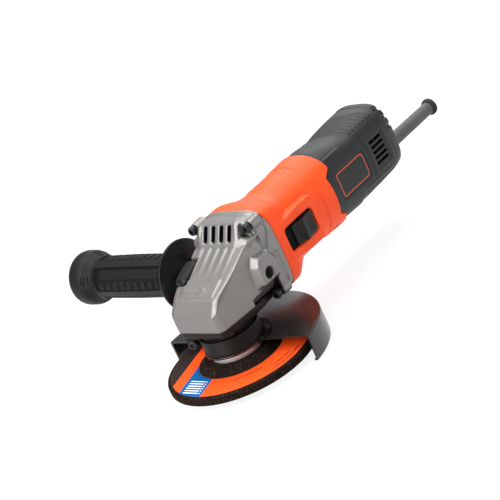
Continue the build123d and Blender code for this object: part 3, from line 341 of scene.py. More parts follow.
def blackened_steel(name, colour, roughness, metallic=0.6):
    """Black oxide on a screw or a pin, rubbed brighter in places."""
    finish = Finish(name, colour, roughness, metallic)
    rubbed = finish.noise(260.0, 4.0)
    finish.set("Base Color", finish.mix(rubbed, finish.shaded(0.75), finish.shaded(1.6)))
    finish.set("Roughness", roughness - 0.08 + rubbed * 0.16)
    finish.bump(finish.noise(1900.0), 0.00003, 0.5)
    return finish.material


def spark_plastic(name, colour, roughness, grain=0.00005, specular=0.5, spread=0.05, coat=0.0):
    """Moulded plastic with the fine spark-eroded grain of its mould."""
    finish = Finish(name, colour, roughness, 0.0, Specular_IOR_Level=specular, Coat_Weight=coat)
    finish.set("Coat Roughness", 0.25)
    cells = finish.node("ShaderNodeTexVoronoi", None, Vector=finish.place, Scale=1900.0)
    soft = finish.noise(2600.0, 2.0)
    drift = finish.noise(22.0, 3.0)
    finish.set("Base Color", finish.mix(drift, finish.shaded(1 - spread), finish.shaded(1 + spread)))
    finish.set("Roughness", roughness - 0.04 + drift * 0.06 + soft * 0.04)
    finish.bump(cells * 0.6 + soft * 0.4, grain, 0.5)
    return finish.material


def soft_rubber(name, colour, roughness):
    """Rubber: matt, with a slight bloom and soft mottling."""
    finish = Finish(name, colour, roughness, 0.0, Specular_IOR_Level=0.35)
    bloom = finish.noise(55.0, 4.0)
    fine = finish.noise(1400.0, 2.0)
    finish.set("Base Color", finish.mix(bloom, finish.shaded(0.86), finish.shaded(1.18)))
    finish.set("Roughness", roughness - 0.06 + bloom * 0.1)
    finish.bump(fine, 0.00005, 0.6)
    return finish.material


def guard_enamel():
    """Black stoved enamel over pressed steel: glossy and faintly rippled."""
    finish = Finish(
        "black_stove_enamel", (0.010, 0.008, 0.008), 0.26, 0.0, Specular_IOR_Level=0.4, Coat_Weight=0.25)
    finish.set("Coat Roughness", 0.12)
    ripple = finish.noise(300.0, 2.0)
    dust = finish.noise(90.0, 5.0)
    finish.set("Base Color", finish.mix(dust, (0.007, 0.0055, 0.005), (0.015, 0.012, 0.011)))
    finish.set("Roughness", 0.20 + dust * 0.12)
    finish.bump(ripple, 0.00006, 0.35)
    return finish.material


def resin_abrasive():
    """Brown-black aluminium oxide grit in resin, pressed between two glass-fibre nets."""
    finish = Finish("resin_bonded_grit", (0.014, 0.008, 0.006), 0.84, 0.0, Specular_IOR_Level=0.07)
    grit = finish.node("ShaderNodeTexVoronoi", None, Vector=finish.place, Scale=1050.0)
    lump = finish.noise(420.0, 4.0, 0.7)
    x, y, z = finish.axes()
    weave_u = ((x * 0.8 + y * 0.6) * 1900.0).sine()
    weave_v = ((y * 0.8 - x * 0.6) * 1900.0).sine()
    strands = (weave_u * weave_v) * 0.5 + 0.5
    speck = (grit.math("MULTIPLY", lump) > 0.36)
    base = finish.mix(lump, (0.0035, 0.0021, 0.0017), (0.0145, 0.0075, 0.0052))
    finish.set("Base Color", finish.mix(speck * 0.3, base, (0.10, 0.055, 0.038)))
    finish.set("Roughness", 0.76 + lump * 0.16)
    finish.bump(grit * 0.55 + lump * 0.3 + strands * 0.15, 0.00042, 0.75)
    return finish.material


def lacquered_windings(name, colour):
    """Enamelled copper wire laid in turns, with lacquer over it."""
    finish = Finish(name, colour, 0.34, 0.85, Coat_Weight=0.4)
    x, y, z = finish.axes()
    turns = ((y + z) * 7800.0).sine() * 0.5 + 0.5
    cloud = finish.noise(120.0, 3.0)
    finish.set("Base Color", finish.mix(cloud, finish.shaded(0.75), finish.shaded(1.15)))
    finish.set("Roughness", 0.28 + cloud * 0.16)
    finish.bump(turns, 0.00022, 0.8)
    return finish.material


def core_laminations():
    """Thin steel sheets stacked along the motor's axis."""
    finish = Finish("stacked_laminations", (0.30, 0.30, 0.31), 0.42, 0.9)
    x, y, z = finish.axes()
    sheets = (x * 12500.0).sine() * 0.5 + 0.5
    cloud = finish.noise(80.0, 3.0)
    finish.set("Base Color", finish.mix(sheets, (0.20, 0.20, 0.21), (0.36, 0.36, 0.37)))
    finish.set("Roughness", 0.36 + cloud * 0.14)
    finish.bump(sheets, 0.00008, 0.6)
    return finish.material


def commutator_bars():
    """Copper bars parted by thin mica, round the motor's axis."""
    finish = Finish("commutator_bars", (0.72, 0.36, 0.20), 0.3, 1.0)
    x, y, z = finish.axes()
    angle = y.math("ARCTAN2", z - MOTOR_Z * MM)
    gap = (angle * 24.0).sine() > 0.9
    cloud = finish.noise(160.0)
    finish.set("Base Color", finish.mix(gap, (0.72, 0.36, 0.20), (0.05, 0.035, 0.03)))
    finish.set("Roughness", 0.24 + cloud * 0.14)
    finish.bump(1.0 - gap, 0.0001, 0.6)
    return finish.material


def orange_plastic():
    """The motor housing's satin orange plastic."""
    finish = Finish("satin_orange_plastic", (0.90, 0.072, 0.008), 0.46, 0.0, Specular_IOR_Level=0.22)
    cells = finish.node("ShaderNodeTexVoronoi", None, Vector=finish.place, Scale=2300.0)
    drift = finish.noise(18.0, 3.0)
    finish.set("Base Color", finish.mix(drift, (0.87, 0.066, 0.007), (0.94, 0.080, 0.010)))
    finish.set("Roughness", 0.38 + drift * 0.08)
    finish.bump(cells, 0.00003, 0.35)
    return finish.material


def tail_plastic():
    """Black nylon, with the thin orange outline of the bare badge on each flank."""
    black = (0.0125, 0.0135, 0.0145)
    finish = Finish("black_tail_plastic", black, 0.48, 0.0, Specular_IOR_Level=0.3)
    x, y, z = finish.axes()
    along = abs(x * 1000.0 + 148.0) - 14.2
    upward = abs(z * 1000.0 - 64.1) - 6.6
    out_x = along.math("MAXIMUM", 0.0)
    out_z = upward.math("MAXIMUM", 0.0)
    corner = (out_x * out_x + out_z * out_z).math("SQRT")
    edge = corner + along.math("MAXIMUM", upward).math("MINIMUM", 0.0)
    line = edge.between(2.15, 2.95) * (abs(y * 1000.0) > 24.0)
    cells = finish.node("ShaderNodeTexVoronoi", None, Vector=finish.place, Scale=1900.0)
    drift = finish.noise(22.0, 3.0)
    base = finish.mix(drift, finish.shaded(0.88), finish.shaded(1.15))
    finish.set("Base Color", finish.mix(line, base, (0.62, 0.085, 0.025)))
    finish.set("Roughness", 0.42 + drift * 0.10)
    finish.bump(cells, 0.00004, 0.45)
    return finish.material


def label_print():
    """The disc's paper label: an orange field, a blue block with pale bars, and small dark bars.

    The shapes are plain blocks, laid out by the angle round the spindle and the distance from it.
    """
    finish = Finish("printed_disc_label", (0.94, 0.088, 0.012), 0.55, 0.0, Specular_IOR_Level=0.10)
    x, y, z = finish.axes()
    radius = (x * x + y * y).math("SQRT") * 1000.0
    angle = y.math("ARCTAN2", x) * (180.0 / pi)

    def block(middle, half_angle, near, far):
        return (abs(angle - middle) < half_angle) * radius.between(near, far)

    along = x * 1000.0
    across = y * 1000.0 - (along - 31.0) * 0.25
    paper = finish.noise(420.0, 3.0)
    orange = finish.mix(paper, (0.86, 0.070, 0.008), (0.94, 0.086, 0.011))
    front = along > 5.0
    colour = finish.mix(across < -35.0, orange, (0.022, 0.014, 0.012))
    colour = finish.mix(across.between(-24.2, -1.2) * front, colour, (0.0, 0.095, 0.31))
    rows = ((along * 2.3).sine() > 0.35) * along.between(34.5, 51.0)
    ragged = across.between(-20.5, -6.0) + across.between(-4.9, -3.6)
    colour = finish.mix(rows * ragged.clamped(), colour, (0.78, 0.81, 0.84))
    letters = (angle * 3.3).sine() > 0.0
    words = (angle * 4.1).sine() > -0.1
    dark = block(86.0, 17.0, 48.6, 51.6) * letters + block(48.0, 16.0, 37.6, 40.2) * words
    dark = dark + block(84.0, 11.0, 44.2, 46.9) * letters + block(-150.0, 25.0, 46.6, 48.8) * letters
    dark = dark + block(150.0, 16.0, 40.0, 50.5) * (radius.between(42.0, 43.0) + radius.between(46.0, 47.5))
    colour = finish.mix(dark.clamped(), colour, (0.05, 0.02, 0.015))
    edge = radius.between(31.0, 32.6) + radius.between(53.7, 55.0)
    colour = finish.mix(edge.clamped(), colour, (0.06, 0.028, 0.02))
    finish.set("Base Color", colour)
    finish.set("Roughness", 0.48 + paper * 0.14)
    net_u = ((x * 0.8 + y * 0.6) * 1900.0).sine()
    net_v = ((y * 0.8 - x * 0.6) * 1900.0).sine()
    finish.bump(net_u * net_v * 0.25 + paper * 0.5 + 0.3, 0.00010, 0.5)
    return finish.material


def grip_plastic():
    """The handle's black plastic, with painted shade that darkens the grip's recessed panels."""
    finish = Finish("matt_handle_plastic", (0.0060, 0.0063, 0.0069), 0.46, 0.0, Specular_IOR_Level=0.15)
    x, y, z = finish.axes()
    out = (x - HANDLE_X * MM) * (x - HANDLE_X * MM) + (z - HANDLE_Z * MM) * (z - HANDLE_Z * MM)
    # painted shade: near black within the recessed panels, by the distance from the handle's axis
    panel_painted_shade = (0.0165 - out.math("SQRT")) * 1400.0
    drift = finish.noise(22.0, 3.0)
    raised = finish.mix(drift, finish.shaded(0.9), finish.shaded(1.15))
    finish.set("Base Color", finish.mix(panel_painted_shade.clamped(), raised, (0.0022, 0.0023, 0.0025)))
    finish.set("Roughness", 0.42 + drift * 0.08)
    finish.bump(finish.noise(2300.0, 2.0), 0.00006, 0.5)
    return finish.material


def glossy_flange():
    """The side handle's flange is polished, unlike its grip."""
    finish = Finish("glossy_handle_flange", (0.0028, 0.0025, 0.0026), 0.18, 0.0, Specular_IOR_Level=0.25)
    haze = finish.noise(60.0, 3.0)
    finish.set("Base Color", finish.mix(haze, finish.shaded(0.8), finish.shaded(1.3)))
    finish.set("Roughness", 0.15 + haze * 0.12)
    finish.bump(finish.noise(260.0, 2.0), 0.00003, 0.3)
    return finish.material


def dress_nodes():
    """Give every CAD node the finish of its slot, and return the finishes by slot."""
    finishes = {
        "cast_alloy": cast_alloy(),
        "bearing_steel": turned_steel("ground_bearing_steel", (0.62, 0.62, 0.63), 0.16),
        "gear_steel": turned_steel("oiled_gear_steel", (0.42, 0.41, 0.40), 0.3, 500.0),
        "zinc_steel": plated_steel("bright_zinc_plate", (0.66, 0.66, 0.67), 0.24),
        "black_screw": blackened_steel("black_oxide_screw", (0.022, 0.022, 0.024), 0.36),
        "sintered_bronze": plated_steel("oil_filled_bronze", (0.42, 0.27, 0.12), 0.45),
        "cover_black": spark_plastic("bearing_cover_paint", (0.0050, 0.0040, 0.0028), 0.42, 0.00004, 0.18),
        "felt": soft_rubber("dust_felt", (0.11, 0.11, 0.10), 0.95),
        "rubber_black": soft_rubber("bearing_sleeve_rubber", (0.018, 0.018, 0.018), 0.75),
        "sleeve_rubber": soft_rubber("grey_sleeve_rubber", (0.078, 0.078, 0.080), 0.62),
        "lamination_steel": core_laminations(),
        "copper_wire": lacquered_windings("lacquered_copper_wire", (0.50, 0.17, 0.07)),
        "copper_bars": commutator_bars(),
        "carbon": soft_rubber("carbon_brush", (0.03, 0.03, 0.032), 0.6),
        "brass": plated_steel("drawn_brass", (0.72, 0.52, 0.22), 0.28),
        "inner_plastic": spark_plastic("inner_black_nylon", (0.03, 0.03, 0.03), 0.55),
        "capacitor_case": spark_plastic("capacitor_case", (0.40, 0.33, 0.06), 0.35),
        "orange_plastic": orange_plastic(),
        "tail_plastic": tail_plastic(),
        "button_plastic": spark_plastic(
            "black_button_plastic", (0.0055, 0.0050, 0.0048), 0.34, 0.00003, 0.22),
        "handle_plastic": grip_plastic(),
        "guard_paint": guard_enamel(),
        "abrasive": resin_abrasive(),
        "label_print": label_print(),
    }
    for part in frame["record"]["subparts"]:
        node = frame["nodes"][part["node"]]
        for index in range(len(node.data.materials)):
            node.data.materials[index] = finishes[part["material_slot"]]
    return finishes


# ---------------------------------------------------------------- shapes
def soft(value, start, end):
    """0 at start and 1 at end, with soft ends. Start may be the larger."""
    share = np.clip((value - start) / (end - start), 0, 1)
    return share * share * (3 - 2 * share)


def within(value, low_end, high_end, edge):
    """1 between two values, falling to 0 over an edge's width outside them."""
    return soft(value, low_end - edge, low_end) * soft(value, high_end + edge, high_end)


def flow(x, stations, blur=2.5):
    """A size that changes along X, through (x, size) stations, with its corners blurred."""
    places, sizes = zip(*sorted(stations))
    return sum(np.interp(x + blur * step / 3, places, sizes) for step in range(-3, 4)) / 7


def squarish(phi, wide, top, bottom, power):
    """Distance from the motor axis to a squarish oval, by the direction round the axis."""
    side = np.abs(np.sin(phi)) / wide
    rise = np.abs(np.cos(phi)) / np.where(np.cos(phi) > 0, top, bottom)
    return (side ** power + rise ** power) ** (-1 / power)


def ring_points(x, phi, reach, y=0.0, z=None):
    """Points at distances from the motor's axis, or from another axis along X."""
    height = MOTOR_Z if z is None else z
    return np.stack([x + 0 * phi, y + reach * np.sin(phi), height + reach * np.cos(phi)], axis=-1)


def solid(name, points, faces, turned_out=True):
    """A mesh object from points in millimetres."""
    mesh = bpy.data.meshes.new(name)
    mesh.from_pydata([tuple(point) for point in np.asarray(points, float) * MM], [], faces)
    piece = bpy.data.objects.new(name, mesh)
    scene.collection.objects.link(piece)
    if turned_out:
        net = bmesh.new()
        net.from_mesh(mesh)
        bmesh.ops.recalc_face_normals(net, faces=net.faces)
        net.to_mesh(mesh)
        net.free()
    return piece


def shell(name, rings, closed_round=True):
    """A closed skin from a loop of rings. Rings that don't close get a flat face at each end."""
    count = len(rings[0])
    faces = []
    for index in range(len(rings)):
        a = index * count
        b = (index + 1) % len(rings) * count
        for i in range(count if closed_round else count - 1):
            j = (i + 1) % count
            faces.append((a + i, a + j, b + j, b + i))
    if not closed_round:
        faces.append([index * count for index in range(len(rings))])
        faces.append([index * count + count - 1 for index in reversed(range(len(rings)))])
    return solid(name, np.concatenate(rings), faces)


def lathe(name, outline, steps=96, start=0.0, sweep=360.0):
    """Turn an outline of (radius, z) points round the spindle's axis, all the way or part of it."""
    whole = sweep >= 360.0
    turns = np.radians(start + np.linspace(0, sweep, steps, endpoint=not whole))
    rings = [
        np.stack([radius * np.cos(turns), radius * np.sin(turns), z + 0 * turns], axis=-1)
        for radius, z in outline]
    return shell(name, rings, whole)


def coil(name, centre, bottom, top, radius, wire, turns):
    """A round wire wound upwards round a vertical axis, with its two ends closed."""
    steps = turns * 28
    sides = 8
    points = []
    for step in range(steps + 1):
        turn = 2 * pi * turns * step / steps
        z = bottom + wire + (top - bottom - 2 * wire) * step / steps
        for side in range(sides):
            lean = 2 * pi * side / sides
            reach = radius + wire * cos(lean)
            across = (centre[0] + reach * cos(turn), centre[1] + reach * sin(turn))
            points.append((*across, z + wire * sin(lean)))
    faces = [list(range(sides)), list(range(steps * sides, (steps + 1) * sides))[::-1]]
    for step in range(steps):
        for side in range(sides):
            ahead = (side + 1) % sides
            near, far = step * sides, (step + 1) * sides
            faces.append((near + side, far + side, far + ahead, near + ahead))
    return solid(name, points, faces)


def rounded(outline, radius, steps=4):
    """Round the corners of a closed outline, each by a radius or less where the sides are short."""
    result = []
    for index, corner in enumerate(outline):
        here = Vector(corner)
        back = Vector(outline[index - 1]) - here
        ahead = Vector(outline[(index + 1) % len(outline)]) - here
        half = back.angle(ahead) / 2
        if half > radians(86):
            result.append(tuple(here))
            continue
        reach = min(radius / abs(np.tan(half)), back.length * 0.45, ahead.length * 0.45)
        first = here + back.normalized() * reach
        last = here + ahead.normalized() * reach
        for step in range(steps + 1):
            t = step / steps
            result.append(tuple(first * (1 - t) ** 2 + here * 2 * t * (1 - t) + last * t ** 2))
    return result


def hull(name, points):
    """The smallest convex solid round some points."""
    net = bmesh.new()
    for point in points:
        net.verts.new(Vector(point) * MM)
    made = bmesh.ops.convex_hull(net, input=net.verts)
    spare = made["geom_interior"] + made["geom_unused"]
    loose = {item for item in spare if isinstance(item, bmesh.types.BMVert)}
    bmesh.ops.delete(net, geom=list(loose), context="VERTS")
    bmesh.ops.recalc_face_normals(net, faces=net.faces)
    mesh = bpy.data.meshes.new(name)
    net.to_mesh(mesh)
    net.free()
    piece = bpy.data.objects.new(name, mesh)
    scene.collection.objects.link(piece)
    return piece


def brick(low_corner, high_corner, name="brick"):
    """A box between two corners."""
    return hull(name, [
        (x, y, z) for x in (low_corner[0], high_corner[0]) for y in (low_corner[1], high_corner[1])
        for z in (low_corner[2], high_corner[2])])


def prism(outline, plane, near, far, name="prism"):
    """An outline pushed along an axis. The plane names the outline's two axes, such as "yz"."""
    order = {"yz": (2, 0, 1), "xz": (0, 2, 1), "xy": (0, 1, 2)}[plane]
    count = len(outline)
    points = []
    for depth in (near, far):
        for u, v in outline:
            points.append([(u, v, depth)[index] for index in order])
    faces = [list(range(count)), list(range(2 * count - 1, count - 1, -1))]
    faces += [(i, (i + 1) % count, (i + 1) % count + count, i + count) for i in range(count)]
    return solid(name, points, faces)


def rod(axis, centre, radius, near, far, name="rod", steps=40, far_radius=None):
    """A cylinder or cone along x, y or z between two places on that axis."""
    turns = np.linspace(0, 2 * pi, steps, endpoint=False)
    order = {"x": (2, 0, 1), "y": (0, 2, 1), "z": (0, 1, 2)}[axis]
    points = []
    for depth, reach in ((near, radius), (far, radius if far_radius is None else far_radius)):
        for turn in turns:
            flat = (centre[0] + reach * cos(turn), centre[1] + reach * sin(turn), depth)
            points.append([flat[index] for index in order])
    faces = [list(range(steps)), list(range(2 * steps - 1, steps - 1, -1))]
    faces += [(i, (i + 1) % steps, (i + 1) % steps + steps, i + steps) for i in range(steps)]
    return solid(name, points, faces)


def merged(name, pieces):
    """Several solids as one object. Their skins may cross."""
    net = bmesh.new()
    for piece in pieces:
        net.from_mesh(piece.data)
        bpy.data.objects.remove(piece)
    mesh = bpy.data.meshes.new(name)
    net.to_mesh(mesh)
    net.free()
    piece = bpy.data.objects.new(name, mesh)
    scene.collection.objects.link(piece)
    return piece


def settle(piece):
    """Apply every modifier of a piece."""
    bpy.context.view_layer.update()
    graph = bpy.context.evaluated_depsgraph_get()
    mesh = bpy.data.meshes.new_from_object(piece.evaluated_get(graph))
    piece.modifiers.clear()
    piece.data = mesh
    return piece


def cut(piece, tools, operation="DIFFERENCE"):
    """Cut closed solids out of a piece, or join them to it, one after another."""
    for tool in tools:
        step = piece.modifiers.new("cut", "BOOLEAN")
        step.operation = operation
        step.solver = "MANIFOLD"
        step.object = tool
    settle(piece)
    for tool in tools:
        bpy.data.objects.remove(tool)
    return piece


def bevelled(piece, width, segments=2, angle=30):
    """Break the sharp edges of a piece."""
    step = piece.modifiers.new("bevel", "BEVEL")
    step.width = width * MM
    step.segments = segments
    step.limit_method = "ANGLE"
    step.angle_limit = radians(angle)
    step.harden_normals = False
    return settle(piece)


def show(piece, slot, body, *nodes, sharp=35):
    """Finish a piece: its shading, its material, its body and the CAD nodes that it stands for."""
    mesh = piece.data
    mesh.materials.clear()
    mesh.materials.append(FINISH[slot])
    for polygon in mesh.polygons:
        polygon.use_smooth = True
        polygon.material_index = 0
    mesh.set_sharp_from_angle(angle=radians(sharp))
    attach(piece, body)
    if nodes:
        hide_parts(*nodes)
    return piece


# ---------------------------------------------------------------- motor housing and tail
PAD_FACE_Y = high("motor_housing").y
PAD_X = (-92.0, -55.0)
PAD_Z = (49.5, 76.5)
RECESS_X = (-89.4, -56.4)
RECESS_Z = (53.2, 72.8)


def seam_line(phi):
    """Where the orange housing ends: the black tail reaches further forward on each flank."""
    flank = within(np.abs(np.degrees(phi)), 64, 118, 13)
    return SEAM_X - 1.3 + 8.6 * flank


def housing_reach(x, phi):
    """The orange housing's outside: square collar, waist, and a swelling barrel."""
    half = flow(x, [(-130, 31.3), (-121, 31.0), (-112, 30.6), (-100, 30.3), (-90, 30.2), (-76, 29.5),
                    (-69, 29.9), (-63, 31.7), (-58, 33.1), (-46, 33.1)])
    power = flow(x, [(-130, 2.25), (-88, 2.2), (-74, 2.6), (-63, 4.2), (-57, 5.3), (-46, 5.3)])
    power = 2.2 + (power - 2.2) * (1 - 0.36 * soft(np.cos(phi), -0.1, 0.4))
    reach = squarish(phi, half, half, half, power)
    turn = np.degrees(phi)
    # the raised band at the rear, whose front edge leans forward over the flanks
    lean = 5.0 * np.sin(np.abs(phi))
    reach = reach + 0.75 * soft(x, -111.0 + lean, -112.3 + lean) - 0.35
    # a broad shallow panel on each shoulder, drawn as a moulded contour
    shoulder = within(np.abs(turn), 18, 52, 3) * within(x, -108, -84, 2.0)
    reach = reach + 0.45 * shoulder
    # the flat pad that carries the switch, with a step down to the slider's recess
    side = np.sin(phi)
    height = MOTOR_Z + reach * np.cos(phi)
    on_pad = within(x, *PAD_X, 3.4) * within(height, *PAD_Z, 3.6) * (side > 0.3)
    flat = PAD_FACE_Y / np.maximum(side, 0.3)
    reach = reach + (flat - reach) * on_pad
    height = MOTOR_Z + reach * np.cos(phi)
    past_x = np.maximum(np.abs(x - sum(RECESS_X) / 2) - (RECESS_X[1] - RECESS_X[0]) / 2 + 3.2, 0)
    past_z = np.maximum(np.abs(height - sum(RECESS_Z) / 2) - (RECESS_Z[1] - RECESS_Z[0]) / 2 + 3.2, 0)
    in_recess = soft(np.hypot(past_x, past_z), 3.3, 2.7) * (side > 0.3)
    reach = reach - 2.4 * in_recess / np.maximum(side, 0.3)
    # a fine bead along the front edge, beside the gear case
    return reach - 0.7 * soft(x, -49.2, -47.9)


def build_motor_housing():
    phi = np.linspace(-pi, pi, 420, endpoint=False)
    front = SEAM_GAP_X
    rear = seam_line(phi)
    rings = []
    for share in np.linspace(0, 1, 136):
        x = front + (rear - front) * share
        rings.append(ring_points(x, phi, housing_reach(x, phi) - 0.5 * soft(share, 0.994, 1.0)))
    for x, reach in ((0.0, 29.7), (4.0, 29.5), (12.0, 27.6)):
        rings.append(ring_points(rear + x, phi, reach + 0 * phi))
    for x in (-100.0, -80.0, -60.0, front):
        rings.append(ring_points(x + 0 * phi, phi, 27.6 + 0 * phi))
    piece = shell("orange_motor_housing", rings)
    slots = [brick((-80.4, 20, MOTOR_Z - 2.6), (-65.6, 40, MOTOR_Z + 2.6))]
    for index in range(3):
        x = -113.0 - index * 3.0
        for side in (1, -1):
            slots.append(brick((x - 0.75, side * 17.5, 30), (x + 0.75, side * 23.5, 44)))
    cut(piece, slots)
    show(piece, "orange_plastic", "root", "motor_housing", sharp=40)
    # a near-black sheet that lines the slider's recess: painted shade in the recess
    outline = rounded([(-89.5, 53.1), (-56.3, 53.1), (-56.3, 72.9), (-89.5, 72.9)], 1.5)
    recess_shade_sheet = prism(outline, "xz", 30.2, 31.95, "slider_bed")
    cut(recess_shade_sheet, [brick((-80.4, 20, MOTOR_Z - 2.6), (-65.6, 40, MOTOR_Z + 2.6))])
    show(bevelled(recess_shade_sheet, 0.2), "inner_plastic", "root")
    # its near-black, barely reflective plastic is painted shade
    recess_shade_sheet.data.materials[0] = spark_plastic("slider_recess_shade_plastic", (0.0030, 0.0028, 0.0028), 0.6, 0.00004, 0.08)


def tail_size(x):
    wide = flow(x, [(-211, 24.6), (-205, 26.6), (-200, 27.9), (-185, 28.5), (-165, 28.2), (-145, 28.2),
                    (-131, 28.6), (-116, 28.9)])
    top = flow(x, [(-211, 30.0), (-205, 30.6), (-188, 30.0), (-172, 29.1), (-161, 27.7), (-152, 28.4),
                   (-141, 30.1), (-131, 30.5), (-127, 29.2), (-116, 29.1)])
    bottom = flow(x, [(-211, 24.2), (-204, 25.4), (-189, 26.0), (-174, 26.9), (-157.5, 28.0),
                      (-153.5, 29.6), (-133, 29.8), (-120, 29.1)], 1.4)
    power = flow(x, [(-211, 3.3), (-190, 3.2), (-165, 3.0), (-145, 2.7), (-127, 2.3), (-116, 2.2)])
    return wide, top, bottom, power


def tail_reach(x, phi):
    """The black tail's outside, with its thumb ribs, badge recess and vent surround."""
    reach = squarish(phi, *tail_size(x))
    turn = np.degrees(phi)
    side = np.abs(turn)
    height = MOTOR_Z + reach * np.cos(phi)
    # seven curved thumb ribs over the top
    bend = x + 0.16 * turn - 0.0022 * (turn - 10) ** 2
    patch = within(turn, -20, 37, 3) * within(bend, -193.5, -163.2, 0.8)
    ribs = np.cos((bend + 164.6) * 2 * pi / 4.45)
    reach = reach + 0.62 * patch * soft(ribs, -0.35, 0.55)
    # a raised shoulder edge runs back from the seam, and fades out
    ledge = soft(turn, 39.5, 42.0) * within(turn, 41, 46, 12)
    reach = reach + 0.7 * ledge * within(x, -147, -124, 5)
    # the bare badge recess on each flank
    badge = within(x, -166.3, -129.8, 0.6) * within(height, 53.0, 75.2, 0.6) * (side > 50) * (side < 130)
    reach = reach - 0.7 * badge
    # the surround of the side vents
    surround = within(x, -196.5, -171.5, 1.3) * within(height, 50.4, 80.4, 1.6) * (side > 40) * (side < 140)
    reach = reach + 0.55 * surround
    hollow = within(x, -192.6, -174.4, 0.6) * within(height, 53.4, 77.2, 0.6) * (side > 45) * (side < 135)
    reach = reach - 0.45 * hollow
    # long flutes low on the flank, where the palm rests
    palm = within(side, 121, 152, 6) * within(x, -196, -160, 4)
    reach = reach + 0.4 * palm * soft(np.cos(side * pi / 5.5), -0.2, 0.6)
    # stepped notches round the rear edge
    notches = within(side, 36, 40, 1.6) + within(side, 50, 54, 1.6) + within(side, 64, 68, 1.6)
    reach = reach - 1.5 * notches * soft(x, -201.5, -202.6)
    band = soft(x, -202.2, -203.0) * (1 - soft(side, 30, 34))
    reach = reach + 0.5 * band
    return reach


def build_tail():
    """Both halves of the tail, each a skin with its own inner wall, rear wall and seam face."""
    for side, name in ((1, "rear_housing_left"), (-1, "rear_housing_right")):
        phi = np.linspace(0, side * pi, 230)
        end = TAIL_END_X
        rings = []
        for x in np.linspace(-117.4, end + 2.6, 176):
            rings.append(ring_points(x, phi, tail_reach(x + 0 * phi, phi)))
        rim = tail_reach(end + 2.6 + 0 * phi, phi)
        for step in (0.25, 0.5, 0.75, 1.0):
            x = end + 2.6 * (1 - sin(step * pi / 2))
            rings.append(ring_points(x, phi, rim - 2.6 * (1 - cos(step * pi / 2))))
        edge = ring_points(end, phi, rim - 2.6)
        hole = ring_points(end, phi, 6.4 + 0 * phi, z=CORD_Z)
        inner_edge = ring_points(end + 2.4, phi, rim - 5.0)
        for share in (0.06, 0.12, 0.2, 0.6, 1.0):
            dip = 0.7 * soft(share, 0.06, 0.14)
            flat = edge + (hole - edge) * share
            flat[:, 0] += dip
            rings.append(flat)
        rings.append(hole + np.array([3.1, 0, 0]))
        rings.append(inner_edge + (hole - edge) * 0.1)
        for x in np.linspace(end + 6, -117.4, 12):
            wide, top, bottom, power = tail_size(x)
            rings.append(ring_points(x, phi, squarish(phi, wide, top, bottom, power) - 2.3))
        for ring in rings:
            ring[:, 1] = side * np.maximum(side * ring[:, 1], 0.02)
        piece = shell("black_" + name, rings, False)
        slots = []
        for index in range(5):
            z = 56.2 + 4.35 * index
            slots.append(prism(
                rounded([(-191.2, z), (-175.8, z), (-175.8, z + 2.5), (-191.2, z + 2.5)], 1.0),
                "xz", side * 20, side * 34))
        if side < 0:
            for x in (-158.0, -199.0):
                for z in (41.2, 84.6):
                    slots.append(rod("y", (x, z), 3.75, -19.0, -34.0))
        cut(piece, slots)
        cut(piece, [brick((-184.9, side * 19.5, 50), (-182.6, side * 25.6, 80))], "UNION")
        show(piece, "tail_plastic", "root", name, sharp=40)


# ---------------------------------------------------------------- gear case
CASE_FRONT_X = high("gear_case").x
CASE_BOTTOM_Z = high("bearing_cover").z + 0.02
CASE_REAR_X = low("gear_case").x
BOSS_Y = high("gear_case").y
SCREW_AWAY = 27.2


def both(points):
    """Points on the +Y side together with their mirror images."""
    return [(x, side * y, z) for x, y, z in points for side in (1, -1)]


def case_ring(x, half, power):
    """A squarish outline across the motor's axis: rounder at its upper corners than its lower ones."""
    phi = np.linspace(-pi, pi, 72, endpoint=False)
    powers = np.where(np.cos(phi) > 0, power, 5.3)
    return [tuple(point) for point in ring_points(x, phi, squarish(phi, half, half, half, powers))]


